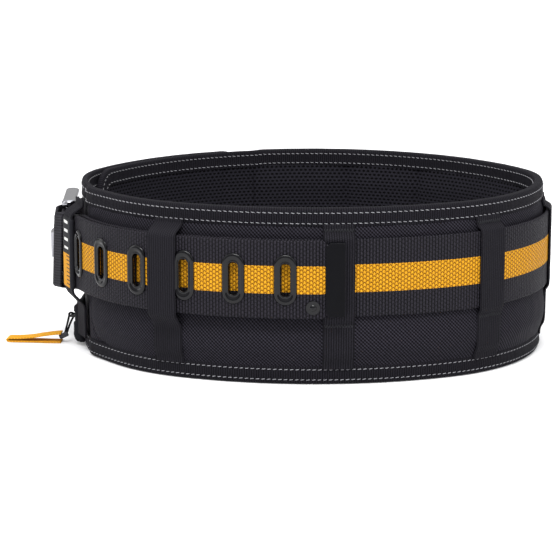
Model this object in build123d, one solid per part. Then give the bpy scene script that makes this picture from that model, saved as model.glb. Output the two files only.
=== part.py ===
from build123d import *
import os
from math import sin, cos, tan, asin, acos, atan2, radians, degrees, hypot, sqrt

# Padded tool belt, closed and standing on its bottom edge.
# X runs from the buckle (-X) to the back of the belt (+X), Y across it, Z up.
# Every plan dimension below is about the middle of the oval; the finished
# belt is moved at the end so that its bounding box is centred over the origin.

# ---------------------------------------------------------------- pad oval
HALF_LEN = 200.0          # half the oval along X
HALF_WID = 155.0          # half the oval along Y
R_NEAR = 285.0            # long side on the wearer's left
R_FAR = 215.0             # long side on the wearer's right
PAD_T = 14.0              # whole pad, face to face
SKIN = 1.2                # ballistic cloth and mesh lining
PAD_H = 145.0             # pad height
PAD_EDGE = 1.0            # the binding wraps this much past the pad's edges
WING_UP = 0.5             # the wings' binding stays this much off the floor
BIND_W = 12.7             # binding tape seen on each face
BIND_T = 1.0
GAP = 0.05                # sewn layers that lie against each other
AIR = 0.35                # pieces that only lie near each other
BOARD_T = 1.2             # stiffening board inside the back of the pad
BOARD_IN = 4.0
BOARD_FROM = 322.0
BOARD_TO = 398.0

# ---------------------------------------------------------------- wings
WING_T = 4.0              # thin hook-and-loop wings in front
NEAR_WING_OUT = -3.0      # outer face of the outer wing
FAR_WING_OUT = -9.45      # outer face of the inner wing
MAIN_START = 200.0        # oval direction where the thick pad begins
MAIN_END = 465.0          # and where it ends
NEAR_WING_END = 106.2     # the outer wing stops here
FAR_WING_END = 166.0      # the inner wing stops here
WING_CORNER = 26.0        # rounded wing corners

# ---------------------------------------------------------------- web belt
WEB_W = 63.5              # 2.5 in web
WEB_T = 2.8
WEB_Z = 89.0              # middle of the web above the floor
WEB_DROP = 9.0            # the buckle's weight pulls the web down this much
BASE_OFF = 1.8            # middle of the web from the pad's face
TAIL_OFF = 7.6            # middle of the slotted end from the pad's face
LEAVE = 22.0              # direction where the web leaves the pad in front
TIP_AT = 23.6             # the slotted end stops at this X
SLOT_PITCH = 42.3
SLOT_FIRST = 46.8         # tip of the web to the first slot
SLOT_COUNT = 9
SLOT_W = 8.0              # slot opening
SLOT_H = 27.0
EYE_W = 18.3              # outside of the slot's eyelet
EYE_H = 41.5
EYE_T = 1.3
LIP = 1.2                 # wall of the eyelet through the web

# ---------------------------------------------------------------- buckle
BEND_U = 62.0             # the free run is straight for this far, then turns back a little
BEND_TURN = 18.0
BEND_IN = 20.0
HEEL_V = 13.0             # heel bar, past that bend
BAR_R = 3.5
FOLD_R = 3.6              # inside radius of the web folded round the heel bar
BUCKLE_LEN = 55.0         # heel bar to roller bar
BUCKLE_TURN = 2.0         # the frame turns in from the run before it
BUCKLE_H = 80.0
WINDOW_H = 67.0
ARM_R = 6.4
ROLLER_R = 6.0
TONGUE_T = 2.4
TONGUE_W = 22.0
RUN_FIT = 0.06            # radial clearance of the turning pieces

R1 = (R_NEAR**2 - HALF_LEN**2 - (R_NEAR - HALF_WID)**2) / (2 * (R_NEAR - HALF_LEN))
R2 = (R_FAR**2 - HALF_LEN**2 - (R_FAR - HALF_WID)**2) / (2 * (R_FAR - HALF_LEN))
T1 = degrees(atan2(HALF_LEN - R1, R_NEAR - HALF_WID))
T2 = degrees(atan2(HALF_LEN - R2, R_FAR - HALF_WID))

# the oval as six tangent arcs: centre x, centre y, radius, first and last direction
OVAL = [
    (HALF_LEN - R2, 0.0, R2, 0.0, 90.0 - T2),
    (0.0, HALF_WID - R_FAR, R_FAR, 90.0 - T2, 90.0 + T2),
    (R2 - HALF_LEN, 0.0, R2, 90.0 + T2, 180.0),
    (R1 - HALF_LEN, 0.0, R1, 180.0, 270.0 - T1),
    (0.0, R_NEAR - HALF_WID, R_NEAR, 270.0 - T1, 270.0 + T1),
    (HALF_LEN - R1, 0.0, R1, 270.0 + T1, 360.0),
]


def ring_point(c, r, a):
    return (c[0] + r * cos(radians(a)), c[1] + r * sin(radians(a)))


def oval_arcs(a0, a1):
    """Arcs of the oval between two directions, a0 < a1."""
    out = []
    for turn in (0.0, 360.0):
        for cx, cy, r, b0, b1 in OVAL:
            lo = max(a0, b0 + turn)
            hi = min(a1, b1 + turn)
            if hi - lo > 1e-6:
                out.append(("arc", (cx, cy), r, lo, hi))
    return out


def oval_radius(a):
    return [r for _, _, r, b0, b1 in OVAL if b0 <= a % 360.0 <= b1][0]


def oval_point(a, off=0.0):
    for cx, cy, r, b0, b1 in OVAL:
        if b0 - 1e-9 <= a % 360.0 <= b1 + 1e-9:
            return ring_point((cx, cy), r + off, a)


# A path is a list of ("line", p0, p1) and ("arc", centre, radius, a0, a1).
# Offsets are positive to the right of the way it is walked.
def side_edge(seg, off):
    if seg[0] == "line":
        (x0, y0), (x1, y1) = seg[1], seg[2]
        n = hypot(x1 - x0, y1 - y0)
        nx = (y1 - y0) / n * off
        ny = -(x1 - x0) / n * off
        return [(x0 + nx, y0 + ny), (x1 + nx, y1 + ny)], None
    c, r, a0, a1 = seg[1:]
    rr = r + off if a1 > a0 else r - off
    return [ring_point(c, rr, a0), ring_point(c, rr, a1)], ring_point(c, rr, (a0 + a1) / 2)


def plan_face(path, off0, off1):
    edges = []
    ends = []
    for off in (off0, off1):
        pts = []
        for seg in path:
            (p, q), mid = side_edge(seg, off)
            pts += [p, q]
            if mid is None:
                edges.append(Line(p, q))
            else:
                edges.append(ThreePointArc(p, mid, q))
        ends.append((pts[0], pts[-1]))
    edges.append(Line(ends[0][0], ends[1][0]))
    edges.append(Line(ends[0][1], ends[1][1]))
    return make_face(Wire(edges))


def wall(path, off0, off1, z0, z1):
    return Pos(0, 0, z0) * extrude(plan_face(path, off0, off1), amount=z1 - z0)


def band(a0, a1, off0, off1, z0, z1):
    return wall(oval_arcs(a0, a1), off0, off1, z0, z1)


def thick_line(points, t):
    """Face along a polyline, t thick, its corners mitred."""
    left = []
    right = []
    for i, (x, y) in enumerate(points):
        dirs = []
        if i > 0:
            dx, dy = x - points[i - 1][0], y - points[i - 1][1]
            dirs.append((dx / hypot(dx, dy), dy / hypot(dx, dy)))
        if i < len(points) - 1:
            dx, dy = points[i + 1][0] - x, points[i + 1][1] - y
            dirs.append((dx / hypot(dx, dy), dy / hypot(dx, dy)))
        nx = sum(-d[1] for d in dirs)
        ny = sum(d[0] for d in dirs)
        n = hypot(nx, ny)
        nx, ny = nx / n, ny / n
        k = t / 2 / (nx * -dirs[0][1] + ny * dirs[0][0])
        left.append((x + nx * k, y + ny * k))
        right.append((x - nx * k, y - ny * k))
    return make_face(Polyline(*(left + right[::-1]), close=True))


def local(p, a):
    """Plane at plan point p: x outward along direction a, y the other way round the belt."""
    return Plane(origin=(p[0], p[1], 0), x_dir=(cos(radians(a)), sin(radians(a)), 0), z_dir=(0, 0, 1))


def upright(p, a):
    """Plane whose x is outward along a and whose y is up; its normal lies along the belt."""
    out = (cos(radians(a)), sin(radians(a)), 0)
    return Plane(origin=(p[0], p[1], 0), x_dir=out, z_dir=(out[1], -out[0], 0))


def facing(p, a):
    """Plane looking straight out of the belt: x towards growing directions, y up."""
    out = (cos(radians(a)), sin(radians(a)), 0)
    return Plane(origin=(p[0], p[1], 0), x_dir=(-out[1], out[0], 0), z_dir=out)


parts = {}

# ================================================================ pad
parts["pad_outer_cloth"] = band(MAIN_START, MAIN_END, -SKIN, 0, PAD_EDGE, PAD_H - PAD_EDGE)
foam = band(MAIN_START, MAIN_END, GAP + SKIN - PAD_T, -SKIN - GAP, PAD_EDGE, PAD_H - PAD_EDGE)
slot = band(BOARD_FROM - 0.2, BOARD_TO + 0.2, -BOARD_IN - BOARD_T - GAP, -BOARD_IN + GAP, 14.8, PAD_H - 14.8)
parts["pad_foam"] = foam - slot
parts["lumbar_board"] = band(BOARD_FROM, BOARD_TO, -BOARD_IN - BOARD_T, -BOARD_IN, 15, PAD_H - 15)
parts["pad_mesh_lining"] = band(MAIN_START, MAIN_END, -PAD_T, SKIN - PAD_T, PAD_EDGE, PAD_H - PAD_EDGE)


def tape(a0, a1, face0, face1, top):
    """Binding folded over one long edge of a panel lying between two offsets."""
    z0, z1 = (PAD_H - BIND_W, PAD_H) if top else (0, BIND_W)
    body = band(a0, a1, face0 - GAP - BIND_T, face1 + GAP + BIND_T, z0, z1)
    c0, c1 = (z0 - 1, PAD_H - BIND_T) if top else (BIND_T, z1 + 1)
    return body - band(a0 - 0.5, a1 + 0.5, face0 - GAP, face1 + GAP, c0, c1)


parts["top_binding"] = tape(MAIN_START, MAIN_END, -PAD_T, 0, True)
parts["bottom_binding"] = tape(MAIN_START, MAIN_END, -PAD_T, 0, False)


def end_corners(a_end, inward, off, edge, depth, grow):
    """What a rounded wing end leaves over: two corner blocks less their quarter rounds."""
    r = WING_CORNER + grow
    cut = None
    for z, s in ((edge, 1), (PAD_H - edge, -1)):
        pl = facing(oval_point(a_end, off), a_end)
        block = Pos(-inward * (r / 2 - 2), z + s * (r / 2 - 2), 0) * Box(r + 4, r + 4, depth)
        round_ = Pos(-inward * r, z + s * r, 0) * Cylinder(r, depth + 2)
        piece = pl * (block - round_)
        cut = piece if cut is None else cut + piece
    return cut


def wing(a0, a1, a_end, inward, out_face):
    """Cloth, foam and lining of a wing, and the binding round its three free sides."""
    inner = out_face - WING_T
    cuts = end_corners(a_end, inward, inner + WING_T / 2, PAD_EDGE, 20, 0)
    z0, z1 = PAD_EDGE, PAD_H - PAD_EDGE
    cloth = band(a0, a1, out_face - 1, out_face, z0, z1) - cuts
    lining = band(a0, a1, inner, inner + 1, z0, z1) - cuts
    foam = band(a0, a1, inner + 1 + GAP, out_face - 1 - GAP, z0, z1) - cuts
    return cloth, foam, lining


def wing_binding(a0, a1, a_end, inward, out_face):
    inner = out_face - WING_T
    radius = oval_radius(a_end) + out_face - WING_T / 2
    grow = degrees(PAD_EDGE / radius) * inward
    b0, b1 = (a0, a1 + grow) if inward > 0 else (a0 + grow, a1)
    body = band(b0, b1, inner - GAP - BIND_T, out_face + GAP + BIND_T, WING_UP, PAD_H)
    body -= end_corners(a_end + grow, inward, inner + WING_T / 2, 0, 20, PAD_EDGE)
    # window: everything further in than the tape is wide
    w = degrees(BIND_W / radius) * inward
    c0, c1 = (a0 - 1, a1 - w) if inward > 0 else (a0 - w, a1 + 1)
    window = band(c0, c1, inner - 5, out_face + 5, BIND_W, PAD_H - BIND_W)
    body -= window - end_corners(a_end - w, inward, inner + WING_T / 2, BIND_W, 30, -BIND_W)
    # room for the wing itself
    cuts = end_corners(a_end, inward, inner + WING_T / 2, PAD_EDGE, 20, 0)
    d0, d1 = (a0 - 1, a1) if inward > 0 else (a0, a1 + 1)
    core = band(d0, d1, inner - GAP, out_face + GAP, PAD_EDGE, PAD_H - PAD_EDGE) - cuts
    return body - core


# outer wing: from the thick pad round the front to the wearer's right
nw0, nw1 = NEAR_WING_END, MAIN_START - 0.15
cloth, foam, lining = wing(nw0, nw1, NEAR_WING_END, -1, NEAR_WING_OUT)
parts["outer_wing_cloth"] = cloth
parts["outer_wing_foam"] = foam
parts["outer_wing_lining"] = lining
parts["outer_wing_binding"] = wing_binding(nw0, nw1, NEAR_WING_END, -1, NEAR_WING_OUT)

# inner wing: from the far end of the thick pad to just short of the front
fw0, fw1 = MAIN_END - 360.0 + 0.15, FAR_WING_END
cloth, foam, lining = wing(fw0, fw1, FAR_WING_END, 1, FAR_WING_OUT)
parts["inner_wing_cloth"] = cloth
parts["inner_wing_foam"] = foam
parts["inner_wing_lining"] = lining
parts["inner_wing_binding"] = wing_binding(fw0, fw1, FAR_WING_END, 1, FAR_WING_OUT)

# hook tape inside the outer wing, loop tape outside the inner one
wz0, wz1 = BIND_W + 2, PAD_H - BIND_W - 2
hook_out = NEAR_WING_OUT - WING_T - GAP
loop_in = FAR_WING_OUT + GAP
parts["hook_panel"] = band(112.0, 168.0, hook_out - 0.9, hook_out, wz0, wz1)
parts["loop_panel"] = band(110.0, 149.0, loop_in, loop_in + 0.9, wz0, wz1)

# ================================================================ web belt
NEAR_C = (R1 - HALF_LEN, 0.0)
OUT_A = 180.0 + LEAVE                       # direction straight out of the free run
N = (cos(radians(OUT_A)), sin(radians(OUT_A)))
D = (N[1], -N[0])                           # along the free run towards the buckle


def run(u, w):
    """Plan point u along the free run and w outside the pad's face where the web leaves it."""
    return (NEAR_C[0] + (R1 + w) * N[0] + u * D[0], NEAR_C[1] + (R1 + w) * N[1] + u * D[1])


def run_z(u):
    return WEB_Z - WEB_DROP * u / BEND_U


LOW_Z = WEB_Z - WEB_DROP                    # middle of the web at the buckle
BEND_C = run(BEND_U, -BEND_IN)
NOSE_A = OUT_A - BEND_TURN                  # direction straight out of the buckle
N2 = (cos(radians(NOSE_A)), sin(radians(NOSE_A)))
D2 = (N2[1], -N2[0])


def nose(v, w):
    """Plan point past the bend: v along, w outward as in run()."""
    return (BEND_C[0] + (BEND_IN + w) * N2[0] + v * D2[0], BEND_C[1] + (BEND_IN + w) * N2[1] + v * D2[1])


FOLD_MID = FOLD_R + WEB_T / 2
HEEL_W = BASE_OFF - FOLD_MID
HEEL = nose(HEEL_V, HEEL_W)
TAIL_N = TAIL_OFF - HEEL_W                  # slotted end above the heel bar


def heel(d, n):
    """Plan point from the heel bar: d on towards the roller, n outward."""
    return (HEEL[0] + d * D2[0] + n * N2[0], HEEL[1] + d * D2[1] + n * N2[1])


def slanted(p, q, off, z_p, z_q, t=WEB_T, h=WEB_W):
    """Flat strip between two plan points whose middle height changes from z_p to z_q."""
    n = hypot(q[0] - p[0], q[1] - p[1])
    along = ((q[0] - p[0]) / n, (q[1] - p[1]) / n, 0)
    out = (along[1], -along[0], 0)
    pl = Plane(origin=(p[0] + out[0] * off, p[1] + out[1] * off, 0), x_dir=along, z_dir=out)
    side = Polyline((0, z_p - h / 2), (n, z_q - h / 2), (n, z_q + h / 2), (0, z_p + h / 2), close=True)
    return extrude(pl * make_face(side), amount=t / 2, both=True)


def web(path, off, z=WEB_Z):
    return wall(path, off - WEB_T / 2, off + WEB_T / 2, z - WEB_W / 2, z + WEB_W / 2)


# the slotted end crosses from outside the heel bar to inside the roller
BEND_R = 14.0
ROLLER_GAP = 0.4
bend_c = (10.4, TAIL_N - BEND_R)
roll_c = (BUCKLE_LEN * cos(radians(BUCKLE_TURN)), -BUCKLE_LEN * sin(radians(BUCKLE_TURN)))
roll_r = ROLLER_R + ROLLER_GAP + WEB_T / 2
span = hypot(roll_c[0] - bend_c[0], roll_c[1] - bend_c[1])
line_a = degrees(atan2(roll_c[1] - bend_c[1], roll_c[0] - bend_c[0]) - asin((BEND_R + roll_r) / span))
na = radians(line_a + 90)
leave_bend = (bend_c[0] + BEND_R * cos(na), bend_c[1] + BEND_R * sin(na))
at_roller = (roll_c[0] - roll_r * cos(na), roll_c[1] - roll_r * sin(na))
past = 8.0
past_roller = (at_roller[0] + past * cos(radians(line_a)), at_roller[1] + past * sin(radians(line_a)))


def turned(a):
    """World direction of an angle measured from the way to the roller towards outside."""
    return degrees(atan2(D2[1], D2[0])) + a


# from the roller the web bends back round to the pad
BACK_R = 40.0
head = radians(turned(line_a))
p_start = heel(*past_roller)
back_c = (p_start[0] + BACK_R * sin(head), p_start[1] - BACK_R * cos(head))
FAR_C = (0.0, HALF_WID - R_FAR)
far_r = R_FAR + BASE_OFF
wx, wy = back_c[0] - FAR_C[0], back_c[1] - FAR_C[1]
back_n = atan2(wy, wx) - acos((far_r - BACK_R) / hypot(wx, wy))
BACK_DIR = degrees(back_n)                  # direction where the web meets the pad again
p_back = ring_point(back_c, BACK_R, BACK_DIR)
p_touch = ring_point(FAR_C, far_r, BACK_DIR)
start_n = degrees(head) + 90.0

base_arcs = oval_arcs(OUT_A, 360.0 + BACK_DIR)
base_run = slanted(run(BEND_U, BASE_OFF), run(0, BASE_OFF), 0, LOW_Z, WEB_Z)
base_nose = web([("line", nose(HEEL_V, 0), nose(0, 0)), ("arc", BEND_C, BEND_IN, NOSE_A, OUT_A)], BASE_OFF, LOW_Z)
round_pad = web(base_arcs, BASE_OFF)
to_buckle = slanted(p_touch, p_back, 0, WEB_Z, LOW_Z)
through = [
    ("arc", back_c, BACK_R, BACK_DIR, start_n),
    ("line", p_start, heel(*leave_bend)),
    ("arc", heel(*bend_c), BEND_R, start_n, NOSE_A),
    ("line", heel(bend_c[0], TAIL_N), nose(0, TAIL_OFF)),
    ("arc", BEND_C, BEND_IN + TAIL_OFF, NOSE_A, OUT_A),
]
in_buckle = web(through, 0, LOW_Z)
tail_run = slanted(run(BEND_U, TAIL_OFF), run(0, TAIL_OFF), 0, LOW_Z, WEB_Z)
tip_dir = 270.0 + degrees(asin(TIP_AT / (R_NEAR + TAIL_OFF)))
tail_arcs = oval_arcs(OUT_A, tip_dir)
CAP_END = 1.1                               # the web stops short of the cap's closed end
tail = web(oval_arcs(OUT_A, tip_dir - degrees(CAP_END / (R_NEAR + TAIL_OFF))), TAIL_OFF)

# fold round the heel bar, stitched back against the web
hs = FOLD_MID - WEB_T - 0.3                 # the folded leg ends up just inside the web
reach = HEEL_V
fold_a = degrees(asin(FOLD_MID / hypot(reach, hs)) + atan2(hs, reach))
leg_n = radians(-90.0 - fold_a)
leg_start = (FOLD_MID * cos(leg_n), FOLD_MID * sin(leg_n))
fold = web([("arc", HEEL, FOLD_MID, turned(-90.0 - fold_a), turned(90.0))], 0, LOW_Z)
leg = slanted(heel(-reach, hs), heel(*leg_start), 0, LOW_Z, LOW_Z)
leg_w = HEEL_W + hs
leg_bend = web([("arc", BEND_C, BEND_IN, NOSE_A, OUT_A)], leg_w, LOW_Z)
LEG_U = 38.0                                # the folded leg ends here
stitched = slanted(run(BEND_U, leg_w), run(LEG_U, leg_w), 0, LOW_Z, run_z(LEG_U))
notch = local(HEEL, NOSE_A) * (Pos(-0.5, 0, LOW_Z) * Box(14.2, 17, TONGUE_W + 2))
folded = (fold + base_nose + base_run + leg + leg_bend + stitched) - notch


def oblong(w, h, t):
    return extrude(SlotCenterToCenter(h - w, w, rotation=90), amount=t / 2, both=True)


def tail_spot(s):
    """Plan point, outward direction and middle height s along the slotted end from its tip."""
    for seg in reversed(tail_arcs):
        c, r, a0, a1 = seg[1:]
        rr = r + TAIL_OFF
        length = radians(a1 - a0) * rr
        if s <= length:
            a = a1 - degrees(s / rr)
            return ring_point(c, rr, a), a, WEB_Z
        s -= length
    if s <= BEND_U:
        return run(s, TAIL_OFF), OUT_A, run_z(s)
    s -= BEND_U + radians(BEND_TURN) * (BEND_IN + TAIL_OFF)
    if s <= HEEL_V + bend_c[0]:
        return nose(s, TAIL_OFF), NOSE_A, LOW_Z
    s -= HEEL_V + bend_c[0] + radians(-line_a) * BEND_R
    d = leave_bend[0] + s * cos(radians(line_a))
    n = leave_bend[1] + s * sin(radians(line_a))
    return heel(d, n), start_n, LOW_Z


slots = [tail_spot(SLOT_FIRST + SLOT_PITCH * i) for i in range(SLOT_COUNT)]
strap = folded + round_pad + to_buckle + in_buckle + tail_run + tail
for p, a, z in slots:
    hole = Pos(0, z, 0) * oblong(SLOT_W + 2 * LIP, SLOT_H + 2 * LIP, 2 * WEB_T)
    strap -= facing(p, a) * hole

# tapered end under the tip cap
CAP_W = 15.6
CAP_H = 60.0
CAP_T = 1.2
CAP_BACK = 0.75
cap_p, cap_a, cap_z = tail_spot(CAP_W / 2)
TAPER_H = CAP_H - 2 * CAP_T
for s in (1, -1):
    z_cut = WEB_Z + s * TAPER_H / 2
    wedge = Polyline((12, z_cut), (-CAP_W / 2 - 0.5, z_cut), (-CAP_W / 2 - 4, z_cut + s * 4),
                     (12, z_cut + s * 4), close=True)
    strap -= facing(cap_p, cap_a) * extrude(make_face(wedge), amount=6, both=True)
RIVET_S = 25.4
RIVET_Z = 66.6
riv_p, riv_a, _ = tail_spot(RIVET_S)
strap -= facing(riv_p, riv_a) * (Pos(0, RIVET_Z, 0) * Cylinder(2.05, 8))
parts["web_strap"] = strap

cap = Box(CAP_W, CAP_H, CAP_BACK + WEB_T + CAP_T + 0.3)
cap = chamfer(cap.edges().filter_by(Axis.Z).group_by(Axis.X)[0], 3.5)
cap = Pos(0, 0, (CAP_T - CAP_BACK) / 2) * cap
rim = chamfer(cap.faces().sort_by(Axis.Z)[-1].edges(), 0.4)
pocket = Pos(-0.9, 0, 0) * Box(CAP_W, TAPER_H + 0.1, WEB_T + 0.25)
parts["web_tip_cap"] = facing(cap_p, cap_a) * (Pos(0, WEB_Z, 0) * (rim - pocket))

front = []
back = []
for p, a, z in slots:
    ring = Pos(0, 0, WEB_T / 2 + EYE_T / 2 + 0.02) * oblong(EYE_W, EYE_H, EYE_T)
    ring = fillet(ring.faces().sort_by(Axis.Z)[-1].edges(), 0.9)
    barrel = oblong(SLOT_W + 2 * LIP - 0.1, SLOT_H + 2 * LIP - 0.1, WEB_T + 0.5)
    eye = ring + barrel - oblong(SLOT_W, SLOT_H, 3 * WEB_T)
    front.append(facing(p, a) * (Pos(0, z, 0) * eye))
    wash = oblong(EYE_W - 1, EYE_H - 1, 0.8) - oblong(SLOT_W, SLOT_H, 2)
    back.append(facing(p, a) * (Pos(0, z, -WEB_T / 2 - 0.75) * wash))
parts["slot_eyelets"] = Compound(front)
parts["slot_washers"] = Compound(back)

head_ = Pos(0, 0, WEB_T / 2 + 0.45) * Cylinder(5.6, 0.8)
dome = Pos(0, 0, WEB_T / 2 + 0.85 - 2.2) * Sphere(3.6)
dome = split(dome, Plane.XY.offset(WEB_T / 2 + 0.8), keep=Keep.TOP)
shank = Pos(0, 0, -0.15) * Cylinder(2.0, WEB_T + 0.7)
parts["tip_rivet"] = facing(riv_p, riv_a) * (Pos(0, RIVET_Z, 0) * (head_ + dome + shank))
washer = Pos(0, 0, -WEB_T / 2 - 0.75) * (Cylinder(4.6, 0.7) - Cylinder(2.05, 2))
parts["tip_rivet_washer"] = facing(riv_p, riv_a) * (Pos(0, RIVET_Z, 0) * washer)

# ================================================================ belt loops
LOOP_W = 25.4
LOOP_T = 1.8
loop_bot = BIND_W + 0.3
loop_top = PAD_H - BIND_W - 0.3
OVER_WEB = BASE_OFF + WEB_T / 2 + 0.1 + LOOP_T / 2
OVER_TAIL = TAIL_OFF + WEB_T / 2 + EYE_T + 0.3 + LOOP_T / 2


def belt_loop(plane, width, flat, over, web_z, lean=0.0):
    """Webbing sewn down above and below, bulging over the web; lean is room for a web that slopes."""
    w0, w1 = web_z - WEB_W / 2 - lean, web_z + WEB_W / 2 + lean
    rise = over - flat
    mid = [(flat, loop_bot), (flat, w0 - 2.5 - rise), (over, w0 - 1.8), (over, w1 + 1.6),
           (flat, w1 + 2.4 + 0.5 * rise), (flat, loop_top)]
    return extrude(plane * thick_line(mid, LOOP_T), amount=width / 2, both=True)


loops = [(244.5, OVER_TAIL), (273.8, OVER_WEB), (306.6, OVER_WEB), (352.0, OVER_WEB),
         (409.0, OVER_WEB), (433.5, OVER_WEB), (458.0, OVER_WEB)]
for i, (a, over) in enumerate(loops):
    parts[f"belt_loop_{i + 1}"] = belt_loop(upright(oval_point(a), a), LOOP_W, 1.0, over, WEB_Z)

PATCH_U = 16.5
PATCH_W = 21.0
patch_over = TAIL_OFF + WEB_T / 2 + EYE_T + 0.3 + LOOP_T / 2
pl = upright(run(PATCH_U, 0), OUT_A)
LEAN = 0.6
parts["front_loop"] = belt_loop(pl, PATCH_W, 1.0, patch_over, run_z(PATCH_U), LEAN)
PATCH_T = 1.3
PATCH_H = 60.0
label = Box(PATCH_W - 0.6, PATCH_H, PATCH_T)
label = fillet(label.edges().filter_by(Axis.Z), 2.0)
lift = patch_over + LOOP_T / 2 + PATCH_T / 2 + 0.02
parts["front_patch"] = facing(run(PATCH_U, lift), OUT_A) * (Pos(0, run_z(PATCH_U), 0) * label)

# ================================================================ keeper
KEEP_U = 50.0
KEEP_W = 24.0
KEEP_T = 1.6
SLOPE = degrees(atan2(WEB_DROP, BEND_U))
keep_in, keep_out = -3.6, TAIL_OFF + WEB_T / 2 + EYE_T + 0.4
keep_h = WEB_W / 2 + 0.7
mid_w = (keep_in + keep_out) / 2
deep = keep_out - keep_in
hole = Rectangle(deep, 2 * keep_h)
hole = fillet(hole.vertices(), 1.0)
rim_ = fillet(Rectangle(deep + 2 * KEEP_T, 2 * keep_h + 2 * KEEP_T).vertices(), 2.6)
keeper = extrude(rim_ - hole, amount=KEEP_W / 2, both=True)
kp = run(KEEP_U, mid_w)
keep_plane = upright(kp, OUT_A)
keep_plane = Plane(origin=(kp[0], kp[1], run_z(KEEP_U)), x_dir=keep_plane.x_dir, z_dir=keep_plane.z_dir)
parts["keeper"] = keep_plane * (Rot(SLOPE, 0, 0) * keeper)

# ================================================================ buckle
ROLL = heel(*roll_c)
arm_h = (BUCKLE_H - WINDOW_H) / 2
arms = None
arm_dir = degrees(atan2(ROLL[1] - HEEL[1], ROLL[0] - HEEL[0]))
arm_mid = ((ROLL[0] + HEEL[0]) / 2, (ROLL[1] + HEEL[1]) / 2)
for s in (1, -1):
    bar = extrude(SlotCenterToCenter(BUCKLE_LEN, 2 * ARM_R), amount=arm_h / 2, both=True)
    bar = fillet(bar.edges().filter_by(Plane.XY), 3.0)
    bar = Pos(arm_mid[0], arm_mid[1], LOW_Z + s * (WINDOW_H + arm_h) / 2) * (Rot(0, 0, arm_dir) * bar)
    bar -= Pos(HEEL[0], HEEL[1], LOW_Z + s * (WINDOW_H / 2 + arm_h / 2 - 1.5)) * Cylinder(BAR_R, arm_h + 1)
    arms = bar if arms is None else arms + bar
frame_bar = Pos(ROLL[0], ROLL[1], LOW_Z) * Cylinder(BAR_R, WINDOW_H + 2)
# set screws that hold the heel bar, in the near end of each arm
hole_dir = (-cos(radians(arm_dir)), -sin(radians(arm_dir)), 0)
screws = []
frame = arms + frame_bar
for s in (1, -1):
    z = LOW_Z + s * (WINDOW_H / 2 + arm_h / 2)
    start = (HEEL[0] + hole_dir[0] * (BAR_R + 0.05), HEEL[1] + hole_dir[1] * (BAR_R + 0.05), z)
    bore = Plane(origin=start, z_dir=hole_dir) * (Pos(0, 0, 2.5) * Cylinder(1.6, 5))
    frame -= bore
    body = Pos(0, 0, 0.9) * Cylinder(1.55, 1.8)
    body -= Pos(0, 0, 1.5) * extrude(RegularPolygon(0.8, 6), amount=1)
    screws.append(Plane(origin=start, z_dir=hole_dir) * body)
parts["buckle_frame"] = frame
parts["heel_bar_screws"] = Compound(screws)
bar_h = WINDOW_H + 2 * (arm_h - 2.0)
parts["heel_bar"] = Pos(HEEL[0], HEEL[1], LOW_Z) * Cylinder(BAR_R - 0.01, bar_h)
tube = Cylinder(ROLLER_R, WINDOW_H - 0.5) - Cylinder(BAR_R + RUN_FIT, WINDOW_H)
tube = chamfer(tube.edges().filter_by(GeomType.CIRCLE).group_by(SortBy.RADIUS)[-1], 0.5)
parts["buckle_roller"] = Pos(ROLL[0], ROLL[1], LOW_Z) * tube

tn = TAIL_N + WEB_T / 2 + EYE_T + 0.5 + TONGUE_T / 2
rest = ROLLER_R + 0.1 + TONGUE_T / 2
curve = tn - bend_c[1]                      # the blade follows the web round its bend
kx, ky = roll_c[0] - bend_c[0], roll_c[1] - bend_c[1]
blade_a = atan2(ky, kx) - asin((curve - rest) / hypot(kx, ky))
bn = blade_a + radians(90)
off_curve = (bend_c[0] + curve * cos(bn), bend_c[1] + curve * sin(bn))
on_roller = (roll_c[0] + rest * cos(bn), roll_c[1] + rest * sin(bn))
blade_end = (on_roller[0] + 5 * cos(blade_a), on_roller[1] + 5 * sin(blade_a))
blade = [
    ("line", heel(*blade_end), heel(*off_curve)),
    ("arc", heel(*bend_c), curve, turned(degrees(bn)), turned(90.0)),
    ("line", heel(bend_c[0], tn), heel(-1.0, tn)),
]
low, high = LOW_Z - TONGUE_W / 2, LOW_Z + TONGUE_W / 2
tongue = wall(blade, -TONGUE_T / 2, TONGUE_T / 2, low, high)
neck = wall([("line", heel(0.2, tn), heel(0.2, 0))], -TONGUE_T / 2, TONGUE_T / 2, low, high)
tongue += neck
hub = Pos(HEEL[0], HEEL[1], LOW_Z) * Cylinder(5.4, TONGUE_W)
bore = Pos(HEEL[0], HEEL[1], LOW_Z) * Cylinder(BAR_R + RUN_FIT, TONGUE_W + 2)
parts["buckle_tongue"] = (tongue + hub) - bore

# ================================================================ zip pocket
POCKET_A = 175.0          # direction it faces, low on the front of the outer wing
POCKET_W = 5.0            # its flat face, from the oval
POCKET_FAR = 36.0
POCKET_NEAR = 30.0
POCKET_BOT = 3.0
POCKET_TOP = 37.0
ZIP_Z = 24.5
GROOVE = 3.0              # half the zip's valley
pocket_p = oval_point(POCKET_A)
PW = (cos(radians(POCKET_A)), sin(radians(POCKET_A)))
PT = (-PW[1], PW[0])                        # towards the wearer's left


def on_pocket(t, w, z):
    return (pocket_p[0] + t * PT[0] + w * PW[0], pocket_p[1] + t * PT[1] + w * PW[1], z)


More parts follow.
